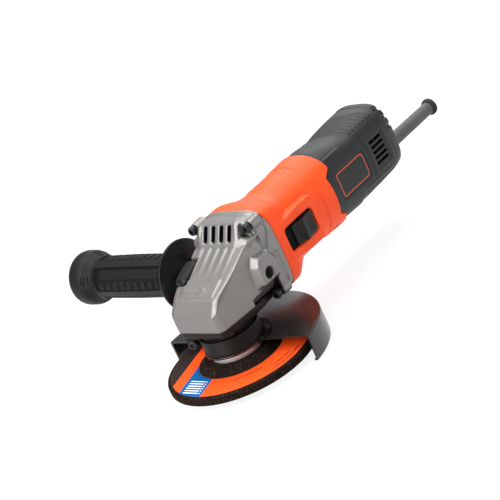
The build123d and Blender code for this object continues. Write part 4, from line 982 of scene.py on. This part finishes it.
def case_solids():
    """The overlapping solids that the casting is made of."""
    front, floor_z = CASE_FRONT_X, CASE_BOTTOM_Z
    solids = [
        hull("flange", case_ring(CASE_REAR_X, 32.8, 4.2) + case_ring(-43.6, 32.8, 4.2)),
        hull("collar", case_ring(-44.5, 32.0, 4.6) + case_ring(-35.0, 30.9, 5.6)),
        hull("rear_body", case_ring(-40.0, 30.0, 3.4) + case_ring(-33.0, 28.6, 3.0)),
        hull("body", both([
            (front, 20.2, floor_z), (front - 3.0, 23.2, floor_z), (13, 25.0, floor_z), (-4, 27.2, floor_z),
            (-24, 29.4, floor_z), (-37, 29.6, floor_z), (front, 20.0, 53.0), (front - 3.0, 23.0, 54.5),
            (18.4, 19.2, 61.6), (15.0, 22.4, 62.9), (-4, 26.2, 71.8), (-21.5, 26.6, 80.4),
            (-37, 27.0, 81.4), (-37, 30.4, 70)])),
        hull("vent_panel", both([
            (-21.4, 17.8, 81.0), (-31.0, 17.4, 94.4), (-32.4, 16.6, 95.1), (-39.0, 16.6, 95.1),
            (-39.0, 20.0, 72.0), (-20.0, 18.4, 76.0)])),
    ]
    for side in (1, -1):
        # the angular pad round each side handle socket, and the rib from it up to the flange
        face = [(-19.0, 64.5), (-22.0, 69.5), (-34.0, 68.0), (-37.5, 61.0), (-36.5, 50.8), (-28.0, 46.6),
                (-17.6, 51.0)]
        root_edge = [(-16.0, 65.5), (-20.0, 73.0), (-38.0, 72.0), (-43.8, 61.0), (-43.5, 47.0),
                     (-27.0, 42.4), (-14.6, 48.5)]
        solids.append(hull("pad", [(x, side * BOSS_Y, z) for x, z in face]
                           + [(x, side * 26.5, z) for x, z in root_edge]))
        solids.append(hull("pad_rib", [
            (x, side * y, z) for x, y, z in (
                (-34, 33.2, 66), (-43.6, 33.2, 64), (-43.6, 32.2, 82), (-36, 26, 81), (-34, 27, 68),
                (-43.6, 26, 82))]))
        # the web that runs from the panel round the upper screw
        solids.append(hull("upper_web", [
            (x, side * y, z) for x, y, z in (
                (-29.0, 17.0, 93.4), (-31.5, 17.0, 95.0), (-40.0, 17.0, 95.0), (-40.0, 31.0, 84.0),
                (-31.0, 31.2, 81.6), (-22.6, 18.5, 82.4), (-24.0, 27.4, 77.5), (-40.0, 24.0, 92.2),
                (-31.4, 24.0, 92.0))]))
        # the fillet between the panel's lower corner and that web
        solids.append(hull("web_fillet", [
            (x, side * y, z) for x, y, z in (
                (-21.0, 16.5, 79.0), (-21.2, 20.6, 79.0), (-22.2, 16.5, 82.4), (-22.8, 19.6, 82.5),
                (-28.0, 16.5, 84.0), (-28.0, 20.8, 84.0), (-28.0, 16.5, 78.0), (-28.0, 21.5, 78.0))]))
    for y in (-SCREW_AWAY, SCREW_AWAY):
        for z in (MOTOR_Z - SCREW_AWAY, MOTOR_Z + SCREW_AWAY):
            solids.append(rod("x", (y, z), 4.6, -44.0, -33.6, far_radius=4.2))
    # longitudinal ridges that run forward from between the slots
    for y in (-16.0, -8.0, 0.0, 8.0, 16.0):
        solids.append(hull("ridge", [
            (-21.0, y - 2.6, 79.0), (-21.0, y + 2.6, 79.0), (-21.0, y - 1.9, 80.6), (-21.0, y + 1.9, 80.6),
            (1.5, y - 2.0, 68.6), (1.5, y + 2.0, 68.6), (0.0, y - 1.4, 70.3), (0.0, y + 1.4, 70.3)]))
    # the step at the ridges' ends, where the smooth nose begins
    solids.append(hull("nose_step", [
        (1.2, -17, 69.0), (1.2, 17, 69.0), (2.8, -17.6, 69.6), (2.8, 17.6, 69.6), (15.6, -16.6, 63.3),
        (15.6, 16.6, 63.3), (15.0, -16.6, 60), (15.0, 16.6, 60), (3, 17, 66), (3, -17, 66)]))
    return solids


SCREW_SPOTS = [
    (reach * cos(radians(turn)), reach * sin(radians(turn)))
    for reach, turn in ((31.2, 148.1), (31.2, -148.1), (24.9, 48.3), (24.9, -48.3))]


def case_cutters():
    """What is cut from the casting: bays, slots, sockets, pockets and screw seats."""
    cutters = [
        lathe("crown_bay", [(0.001, 36), (21.6, 36), (21.6, 52.8), (20.6, 58.6), (7.4, 60.6), (7.4, 63.4),
                            (0.001, 63.4)], 64),
        rod("x", (0, MOTOR_Z), 11.2, -50, -14.0),
        rod("x", (0, MOTOR_Z), 20.2, -50, -31.2),
        rod("x", (0, MOTOR_Z), 26.8, -50, -36.2),
    ]
    # the chamber behind the vent panel
    chamber = [(-26.0, 80.0), (-34.2, 91.6), (-38.0, 91.6), (-38.0, 71.0), (-32.0, 71.0)]
    cutters.append(prism(chamber, "xz", -14.6, 14.6))
    for index in range(4):
        y = (index - 1.5) * 8.0
        slot = [(y - 1.75, 83.2), (y + 1.75, 83.2), (y + 1.75, 93.2), (y - 1.75, 93.2)]
        cutters.append(prism(rounded(slot, 0.8), "yz", -37, -16))
    for side in (1, -1):
        cutters.append(rod("y", (HANDLE_X, HANDLE_Z), 4.1, side * 19.8, side * 40))
        cutters.append(rod("y", (HANDLE_X, HANDLE_Z), 4.1, side * (BOSS_Y - 1.0), side * (BOSS_Y + 0.2),
                           far_radius=5.4))
        for up in (1, -1):
            y, z = side * SCREW_AWAY, MOTOR_Z + up * SCREW_AWAY
            cutters.append(rod("x", (y, z), 4.5, -32.2, -10))
            cutters.append(rod("x", (y, z), 2.1, -50, -30))
    # the triangular hollow in front of each upper screw
    for side in (1, -1):
        cutters.append(prism(
            rounded([(side * 20.3, 95.5), (side * 20.8, 84.6), (side * 27.0, 82.6), (side * 36.0, 85.8),
                     (side * 36.0, 97.0)], 1.6), "yz", -33.4, -10))
    # the lower corners are open, down to the flange, round their screws
    for side in (1, -1):
        cutters.append(prism([(side * 21.4, 37.0), (side * 31.6, 50.5), (side * 40, 50.5), (side * 40, 20),
                              (side * 21.4, 20)], "yz", -35.4, -8))
    # the lock button's notch
    cutters.append(prism(
        rounded([(-15.0, 61.5), (-15.0, 90.0), (6.6, 90.0), (6.6, 61.5)], 2.0), "xz", -15.1, -45))
    cutters.append(rod("z", (0, -18.8), 1.5, 40, 70))
    # the shoulder behind the notch is narrower
    cutters.append(brick((-27.0, -45.0, 73.0), (-14.0, -23.0, 90.0)))
    for x, y in SCREW_SPOTS:
        cutters.append(rod("z", (x, y), 1.7, 38, 49.5))
    return cutters


def arrow_solids():
    """The raised arrow on the nose, which shows the way that the disc turns."""
    tilt = -0.481
    outline = [(-12.5, 1.0), (4.0, 1.0), (4.0, 3.2), (10.5, 0.0), (4.0, -3.2), (4.0, -1.0), (-12.5, -1.0)]
    points = []
    for lift in (-1.2, 0.35):
        for y, x in outline:
            points.append((11.3 + x, y - 2.0, 66.1 + (11.3 + x - 9.0) * tilt + lift + 0.3))
    count = len(outline)
    faces = [list(range(count)), list(range(2 * count - 1, count - 1, -1))]
    faces += [(i, (i + 1) % count, (i + 1) % count + count, i + count) for i in range(count)]
    return solid("arrow", points, faces)


def build_gear_case():
    """One casting: the solids are joined, carved, and remeshed so that its edges are softly rounded."""
    solids = case_solids() + [arrow_solids()]
    piece = solids[0]
    piece.name = "gear_casting"
    cut(piece, solids[1:], "UNION")
    cut(piece, case_cutters())
    blend = piece.modifiers.new("remesh", "REMESH")
    blend.mode = "VOXEL"
    blend.voxel_size = 0.52 * MM
    relax = piece.modifiers.new("relax", "SMOOTH")
    relax.factor = 0.5
    relax.iterations = 9
    thin = piece.modifiers.new("thin", "DECIMATE")
    thin.ratio = 0.42
    settle(piece)
    show(piece, "cast_alloy", "root", "gear_case", sharp=70)
    # the black filler piece in each lower corner
    corners = []
    for side in (1, -1):
        outline = rounded([(side * 20.8, 38.6), (side * 31.4, 50.0), (side * 31.6, 37.6), (side * 26.0, 32.0),
                           (side * 21.0, 33.4)], 1.2)
        corners.append(prism(outline, "yz", -35.3, -33.8, "corner"))
    filler = merged("black_corner_fillers", corners)
    holes = []
    for side in (1, -1):
        holes.append(rod("x", (side * SCREW_AWAY, MOTOR_Z - SCREW_AWAY), 4.3, -50, -10))
    cut(filler, holes)
    bevelled(filler, 0.4)
    show(filler, "cover_black", "root")


# ---------------------------------------------------------------- bearing cover
def build_bearing_cover():
    """The black cover under the gear case: a plate with a lip, ribs round its neck, and bosses."""
    top = CASE_BOTTOM_Z - 0.02
    half = [(-32.8, 24.6), (-22.0, 26.0), (-4.0, 26.6), (13.0, 24.4), (22.4, 22.6), (24.8, 20.0)]
    outline = [(x, y) for x, y in half] + [(x, -y) for x, y in reversed(half)]
    plate = prism(rounded(outline, 2.0), "xy", top - 5.0, top, "cover_plate")
    lower = prism(rounded([(x * 0.93, y * 0.93) for x, y in outline], 2.0), "xy", top - 6.2, top - 4.8)
    neck = lathe("neck", [
        (20.5, 17.2), (20.5, 30.4), (21.4, 31.6), (21.9, 36.0), (18.0, 36.0), (18.0, 17.2)], 96)
    ribs = []
    for index in range(10):
        turn = radians(index * 36 + 18)
        ribs.append(hull("rib", [
            (r * cos(turn) - s * sin(turn), r * sin(turn) + s * cos(turn), z)
            for r, z in ((19.6, 31.0), (19.6, 35.2), (24.0, 35.2), (24.0, 34.0), (21.2, 31.0))
            for s in (-0.7, 0.7)]))
    piece = plate
    piece.name = "bearing_cover_casting"
    cut(piece, [lower, neck] + ribs, "UNION")
    cutters = [rod("z", (0, 0), 17.6, 20.0, 45, steps=72), rod("z", (0, 0), 10.6, 10, 30, steps=64)]
    for x, y in SCREW_SPOTS:
        cutters.append(rod("z", (x, y), 2.2, 25, 45))
    for side in (1, -1):
        cutters.append(rod("x", (side * SCREW_AWAY, MOTOR_Z - SCREW_AWAY), 4.7, -40, -20))
    cut(piece, cutters)
    bevelled(piece, 0.35)
    show(piece, "cover_black", "root", "bearing_cover", sharp=40)


# ---------------------------------------------------------------- copies of CAD nodes with broken edges
def softened(node, body, slot, width, angle=28, cutters=()):
    """A CAD node's own shape, trimmed if need be, with its edges broken by a small bevel."""
    piece = bpy.data.objects.new("soft_" + node, frame["nodes"][node].data.copy())
    scene.collection.objects.link(piece)
    net = bmesh.new()
    net.from_mesh(piece.data)
    bmesh.ops.remove_doubles(net, verts=net.verts, dist=0.000002)
    bmesh.ops.dissolve_limit(net, angle_limit=radians(0.4), verts=net.verts, edges=net.edges)
    net.to_mesh(piece.data)
    net.free()
    if cutters:
        cut(piece, cutters)
    bevelled(piece, width, 2, angle)
    return show(piece, slot, body, node, sharp=50)


# ---------------------------------------------------------------- screws and rivets, by geometry nodes
def repeater_tree():
    """A node tree that puts one fastener on each vertex and turns it to face an axis."""
    tree = bpy.data.node_groups.new("fastener_row", "GeometryNodeTree")
    sides = {}
    for name, kind in (("Places", "NodeSocketGeometry"), ("Fastener", "NodeSocketObject"),
                       ("Facing", "NodeSocketVector"), ("Finish", "NodeSocketMaterial"),
                       ("Seed", "NodeSocketInt")):
        sides[name] = tree.interface.new_socket(name, in_out="INPUT", socket_type=kind).identifier
    tree.interface.new_socket("Fasteners", in_out="OUTPUT", socket_type="NodeSocketGeometry")
    given = tree.nodes.new("NodeGroupInput")
    result = tree.nodes.new("NodeGroupOutput")
    shape = tree.nodes.new("GeometryNodeObjectInfo")
    spin = tree.nodes.new("FunctionNodeRandomValue")
    spin.data_type = "FLOAT"
    own_turn = tree.nodes.new("ShaderNodeCombineXYZ")
    place = tree.nodes.new("GeometryNodeInstanceOnPoints")
    twist = tree.nodes.new("GeometryNodeRotateInstances")
    real = tree.nodes.new("GeometryNodeRealizeInstances")
    paint = tree.nodes.new("GeometryNodeSetMaterial")
    link = tree.links.new
    random_range = [socket for socket in spin.inputs if socket.type == "VALUE"]
    random_range[0].default_value = 0.0
    random_range[1].default_value = 1.05
    link(given.outputs["Seed"], spin.inputs["Seed"])
    link(next(s for s in spin.outputs if s.type == "VALUE"), own_turn.inputs["Z"])
    link(given.outputs["Places"], place.inputs["Points"])
    link(given.outputs["Fastener"], shape.inputs["Object"])
    link(shape.outputs["Geometry"], place.inputs["Instance"])
    link(given.outputs["Facing"], place.inputs["Rotation"])
    link(place.outputs["Instances"], twist.inputs["Instances"])
    link(own_turn.outputs["Vector"], twist.inputs["Rotation"])
    link(twist.outputs["Instances"], real.inputs["Geometry"])
    link(real.outputs["Geometry"], paint.inputs["Geometry"])
    link(given.outputs["Finish"], paint.inputs["Material"])
    link(paint.outputs["Geometry"], result.inputs[0])
    return tree, sides


def fasten(name, head, places, facing, slot, body, node):
    """Repeat a fastener at some places, as one plain mesh that stands for a CAD node."""
    mesh = bpy.data.meshes.new(name)
    mesh.from_pydata([tuple(Vector(place) * MM) for place in places], [], [])
    row = bpy.data.objects.new(name, mesh)
    scene.collection.objects.link(row)
    step = row.modifiers.new("repeat", "NODES")
    step.node_group, sides = REPEATER
    step[sides["Fastener"]] = head
    step[sides["Facing"]] = [radians(turn) for turn in facing]
    step[sides["Finish"]] = FINISH[slot]
    step[sides["Seed"]] = 7
    settle(row)
    bpy.data.objects.remove(head)
    return show(row, slot, body, node, sharp=40)


def star_screw(radius, height, shank_radius, shank_length):
    """A pan-head screw that faces +Z from z = 0, with a six-lobed recess."""
    r, h = radius, height
    head = lathe("screw", rounded([
        (0.02, -shank_length), (shank_radius - 0.3, -shank_length), (shank_radius, -shank_length + 0.6),
        (shank_radius, 0), (r, 0), (r, h * 0.55), (r * 0.84, h), (0.02, h)], 0.45, 3), 40)
    lobes = []
    for index in range(48):
        turn = index / 48 * 2 * pi
        reach = r * (0.50 + 0.09 * cos(6 * turn))
        lobes.append((reach * cos(turn), reach * sin(turn)))
    return cut(head, [prism(lobes, "xy", h * 0.45, h + 1.0)])


def build_fasteners():
    rise = MOTOR_Z + SCREW_AWAY
    drop = MOTOR_Z - SCREW_AWAY
    corners = [(-31.98, side * SCREW_AWAY, z) for side in (1, -1) for z in (rise, drop)]
    fasten("case_screw_heads", star_screw(3.7, 3.2, 2.0, 5.0), corners, (0, 90, 0),
           "black_screw", "root", "gear_case_screws")
    cover = [(x, y, CASE_BOTTOM_Z - 5.04) for x, y in SCREW_SPOTS]
    fasten("cover_screw_heads", star_screw(3.4, 2.4, 1.55, 12.0), cover, (180, 0, 0),
           "black_screw", "root", "bearing_cover_screws")
    rear = [(x, -18.0, z) for x in (-158.0, -199.0) for z in (41.2, 84.6)]
    fasten("rear_screw_heads", star_screw(3.3, 2.2, 1.5, 26.0), rear, (90, 0, 0),
           "black_screw", "root", "rear_housing_screws")
    dome = lathe("rivet", [(0.02, -3.0), (1.2, -3.0), (1.2, 0.0), (2.25, 0.0), (2.2, 0.35), (1.8, 0.75),
                           (1.0, 1.0), (0.02, 1.08)], 28)
    turns = [radians(4.4 + 120 + 40 * index) for index in range(4)]
    heads = [(25.4 * cos(turn), 25.4 * sin(turn), 18.55) for turn in turns]
    rivets = fasten("rivet_heads", dome, heads, (0, 0, 0), "zinc_steel", "guard", "guard_rivets")
    rivets.data.materials[0] = FINISH["guard_paint"]


# ---------------------------------------------------------------- disc, flanges and guard
def build_disc():
    """The depressed-centre disc: pressed edges, a moulded hub, and a slightly crumbly rim."""
    outline = rounded([
        (11.2, 5.6), (24.0, 5.6), (29.6, 0.0), (57.45, 0.0), (57.45, 6.0), (31.2, 6.0), (25.8, 10.6),
        (11.2, 10.6)], 1.3, 4)
    dense = []
    for index, (radius, z) in enumerate(outline):
        ahead = outline[(index + 1) % len(outline)]
        steps = max(1, int((Vector(ahead) - Vector((radius, z))).length / 1.1))
        run, rise = (ahead[0] - radius) / steps, (ahead[1] - z) / steps
        dense += [(radius + run * step, z + rise * step) for step in range(steps)]
    piece = lathe("grinding_disc_body", dense, 360)
    for vertex in piece.data.vertices:
        reach = Vector((vertex.co.x, vertex.co.y)).length
        worn = soft(reach / MM, 55.6, 57.4)
        grain = noise.noise(vertex.co * 900) * 0.5 + noise.noise(vertex.co * 2100) * 0.3
        pull = 1 - worn * (0.16 + 0.34 * grain) * MM / max(reach, MM)
        vertex.co.x *= min(pull, 1.0)
        vertex.co.y *= min(pull, 1.0)
    show(piece, "abrasive", "spindle", "grinding_disc", sharp=60)
    sheet = rounded([(31.8, 6.01), (54.3, 6.01), (54.3, 6.26), (31.8, 6.26)], 0.1, 2)
    label = lathe("disc_label_sheet", sheet, 240)
    show(label, "label_print", "spindle", "disc_label", sharp=60)


def build_flanges():
    """The bright inner flange above the disc and the two-pin nut below it."""
    top = high("inner_flange").z
    seat = 10.62
    inner = lathe("inner_flange_turning", rounded([
        (7.1, seat), (14.0, seat), (14.0, seat + 0.4), (15.4, seat + 0.4), (15.4, seat), (20.0, seat),
        (20.0, seat + 5.2), (19.2, seat + 6.0), (17.4, seat + 6.0), (16.6, top), (13.4, top),
        (12.9, top - 0.5), (11.8, top - 0.5), (11.3, top), (7.1, top)], 0.25, 3), 144)
    show(inner, "zinc_steel", "spindle", "inner_flange", sharp=30)
    inner.data.materials[0] = plated_steel("turned_flange_steel", (0.86, 0.85, 0.84), 0.5)
    softened("outer_flange_nut", "spindle", "zinc_steel", 0.3)
    softened("guard_clamp_screw", "guard", "black_screw", 0.25)
    softened("guard_clamp_nut", "guard", "zinc_steel", 0.25)


def build_guard():
    """The pressed guard: rolled shoulder, in-turned lip, a swaged ring, and its riveted foot."""
    outline = rounded([
        (21.2, 15.32), (63.9, 15.32), (63.9, -2.45), (62.15, -2.45), (62.15, -3.98), (65.48, -3.98),
        (65.48, 16.88), (21.2, 16.88)], 1.7, 6)
    rest = 4.4
    sweep = 176.4
    pressing = lathe("guard_pressing", outline, 150, rest + 180 - sweep / 2, sweep)
    foot = lathe("foot", rounded([(20.6, 15.32), (23.4, 15.32), (23.4, 16.88), (20.6, 16.88)], 0.4, 3), 96)
    cut(pressing, [foot], "UNION")
    show(pressing, "guard_paint", "guard", "guard", sharp=35)
    # the collar's foot is trimmed away in front, where there is no plate under it
    trim = lathe("trim", [(22.75, 16.0), (34.0, 16.0), (34.0, 19.0), (22.75, 19.0)], 60, -84, 178)
    collar = softened("guard_collar", "guard", "guard_paint", 0.3, cutters=[trim])
    collar.data.materials[0] = FINISH["cover_black"]


# ---------------------------------------------------------------- side handle
def build_handle():
    """The side handle: a moulded grip with four ribbed panels and a knob, behind a glossy flange."""
    turns = np.linspace(0, 2 * pi, 420, endpoint=False)
    quarter = (np.degrees(turns) - 68.0 + 45.0) % 90.0 - 45.0

    def ring(y, reach):
        across = HANDLE_X + reach * np.sin(turns)
        upward = HANDLE_Z + reach * np.cos(turns)
        return np.stack([across, y + 0 * turns, upward], axis=-1)

    def grip_reach(y):
        reach = 0 * turns + flow(-y, [
            (54, 16.3), (61, 16.2), (75, 16.6), (100, 16.9), (125, 16.7), (139, 16.4), (142, 16.5),
            (148.5, 20.4), (152, 21.3), (159, 21.4), (162, 20.6), (165, 17.8)], 0.9)
        panel = within(quarter, -33, 31, 2.2) * within(y, -136.5, -64.5, 1.0)
        rim = within(quarter, -37, 35, 2.0) * within(y, -138.6, -62.4, 1.0) - panel
        reach = reach + 0.35 * rim - 1.05 * panel
        strip = within(quarter, -26, -2, 2.0) * within(y, -131.5, -68, 1.0)
        reach = reach + 0.85 * strip
        beat = np.cos((y + 66.5) * 2 * pi / 7.9)
        bars = within(quarter, 5, 26, 2.0) * within(y, -134, -66.5, 0.6) * soft(beat, 0.15, 0.6)
        reach = reach + 1.0 * bars
        dents = within(quarter, -9, 9, 2.2) * soft(np.cos(y * 2 * pi / 2.7), 0.0, 0.5)
        dents = dents * within(y, -148.4, -141.0, 0.4)
        return reach - 0.7 * dents

    rings = [ring(y, grip_reach(y)) for y in np.linspace(-53.2, GRIP_END_Y + 1.6, 250)]
    rings += [ring(GRIP_END_Y + depth, reach + 0 * turns) for depth, reach in (
        (0.7, 17.6), (0.05, 16.0), (0.05, 9.0), (0.9, 8.2), (0.9, 0.05))]
    rings += [ring(y, reach + 0 * turns) for y, reach in ((-77.0, 0.05), (-77.0, 4.1), (-53.2, 4.1))]
    grip = shell("side_handle_grip", rings)
    show(grip, "handle_plastic", "side_handle", "handle_grip", sharp=50)
    profile = rounded([
        (4.1, -53.4), (17.0, -53.4), (24.6, -52.9), (27.1, -52.3), (27.1, -50.6), (25.6, -49.4),
        (17.5, -42.6), (11.6, -38.6), (9.5, -37.4), (9.5, -35.3), (4.1, -35.3)], 0.9, 4)
    flange = shell("side_handle_flange", [ring(y, reach + 0 * turns) for reach, y in profile])
    show(flange, "handle_plastic", "side_handle", sharp=45)
    flange.data.materials[0] = glossy_flange()


# ---------------------------------------------------------------- cord sleeve, lock button and slider
def build_sleeve():
    """The bend-relief sleeve: a grey tapered tube with a dark end collar."""
    turns = np.linspace(0, 2 * pi, 72, endpoint=False)
    start = high("cord_sleeve").x
    end = low("cord_sleeve").x

    def ring(x, reach):
        return np.stack([x + 0 * turns, reach * np.sin(turns), CORD_Z + reach * np.cos(turns)], axis=-1)

    tube = rounded([
        (start, 3.65), (start, 8.15), (start - 2.95, 8.15), (start - 2.95, 6.1), (-214.0, 6.0), (-222.0, 5.5),
        (end + 2.6, 5.2), (end + 2.6, 3.65)], 0.5, 3)
    show(shell("cord_sleeve_tube", [ring(x, reach) for x, reach in tube]), "sleeve_rubber", "root",
         "cord_sleeve", sharp=40)
    collar = rounded([
        (end + 4.4, 5.0), (end + 3.4, 6.6), (end + 2.5, 7.08), (end + 0.6, 7.08), (end + 0.02, 6.3),
        (end + 0.02, 4.2), (end + 0.9, 3.7), (end + 4.4, 3.7)], 0.6, 3)
    piece = shell("cord_sleeve_collar", [ring(x, reach) for x, reach in collar])
    show(piece, "sleeve_rubber", "root", sharp=40)
    piece.data.materials[0] = FINISH["rubber_black"]


def build_lock_button():
    """The spindle lock's button: a rounded bar whose top follows the slope of the case."""
    outline = rounded([(-13.9, -15.6), (-13.9, -27.4), (5.4, -27.4), (5.4, -15.6)], 4.6, 7)
    points = []
    for x, y in outline:
        top = 76.6 - 0.34 * (x + 14.0)
        points.append((x, y, 66.52))
        points.append((x, y, top - 1.4))
        inner_x = -4.5 + (x + 4.5) * 0.86
        inner_y = -21.5 + (y + 21.5) * 0.78
        points.append((inner_x, inner_y, 76.6 - 0.34 * (inner_x + 14.0)))
    piece = hull("lock_button_bar", points)
    bevelled(piece, 0.7, 3, 20)
    cut(piece, [rod("z", (0, -18.8), 3.1, 60.0, 68.2)])
    show(piece, "button_plastic", "lock", "lock_button", sharp=60)
    # its return spring, which in the real tool shortens as the button goes in; here it is a coil of fixed
    # length
    spring = coil("lock_return_spring", (0, -18.8), 61.9, 68.1, 2.5, 0.27, 6)
    show(spring, "zinc_steel", "root", "lock_spring", sharp=60)
    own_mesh(spring)


def build_slider():
    """The on-off slider: a ramp with a raised thumb ridge, on a foot that passes through the slot."""
    profile = [
        (-87.9, 32.3), (-64.1, 32.3), (-64.1, 33.4), (-66.4, 34.1), (-70.6, 34.9), (-71.8, 37.3),
        (-73.9, 37.35), (-75.5, 35.6), (-86.0, 34.3), (-87.9, 33.2)]
    body = prism(rounded(profile, 0.9, 4), "xy", 55.1, 70.9, "slider_body")
    hollows = []
    for x in (-67.3, -69.3):
        hollows.append(rod("z", (x, 34.95 - (x + 69.3) * 0.17), 0.55, 57.5, 68.5, steps=16))
    for x in (-78.5, -80.6, -82.7, -84.8):
        hollows.append(rod("z", (x, 35.35 + (x + 80.6) * 0.15), 0.55, 57.5, 68.5, steps=16))
    cut(body, hollows)
    bevelled(body, 0.6, 3, 40)
    cut(body, [brick((-80.0, 26.2, 60.7), (-72.0, 32.6, 65.3))], "UNION")
    show(body, "button_plastic", "switch", "switch_slider", sharp=45)


light_studio()
lay_floor()
FINISH = dress_nodes()
REPEATER = repeater_tree()
build_motor_housing()
build_tail()
build_gear_case()
build_bearing_cover()
build_fasteners()
build_disc()
build_flanges()
build_guard()
build_handle()
build_sleeve()
build_lock_button()
build_slider()
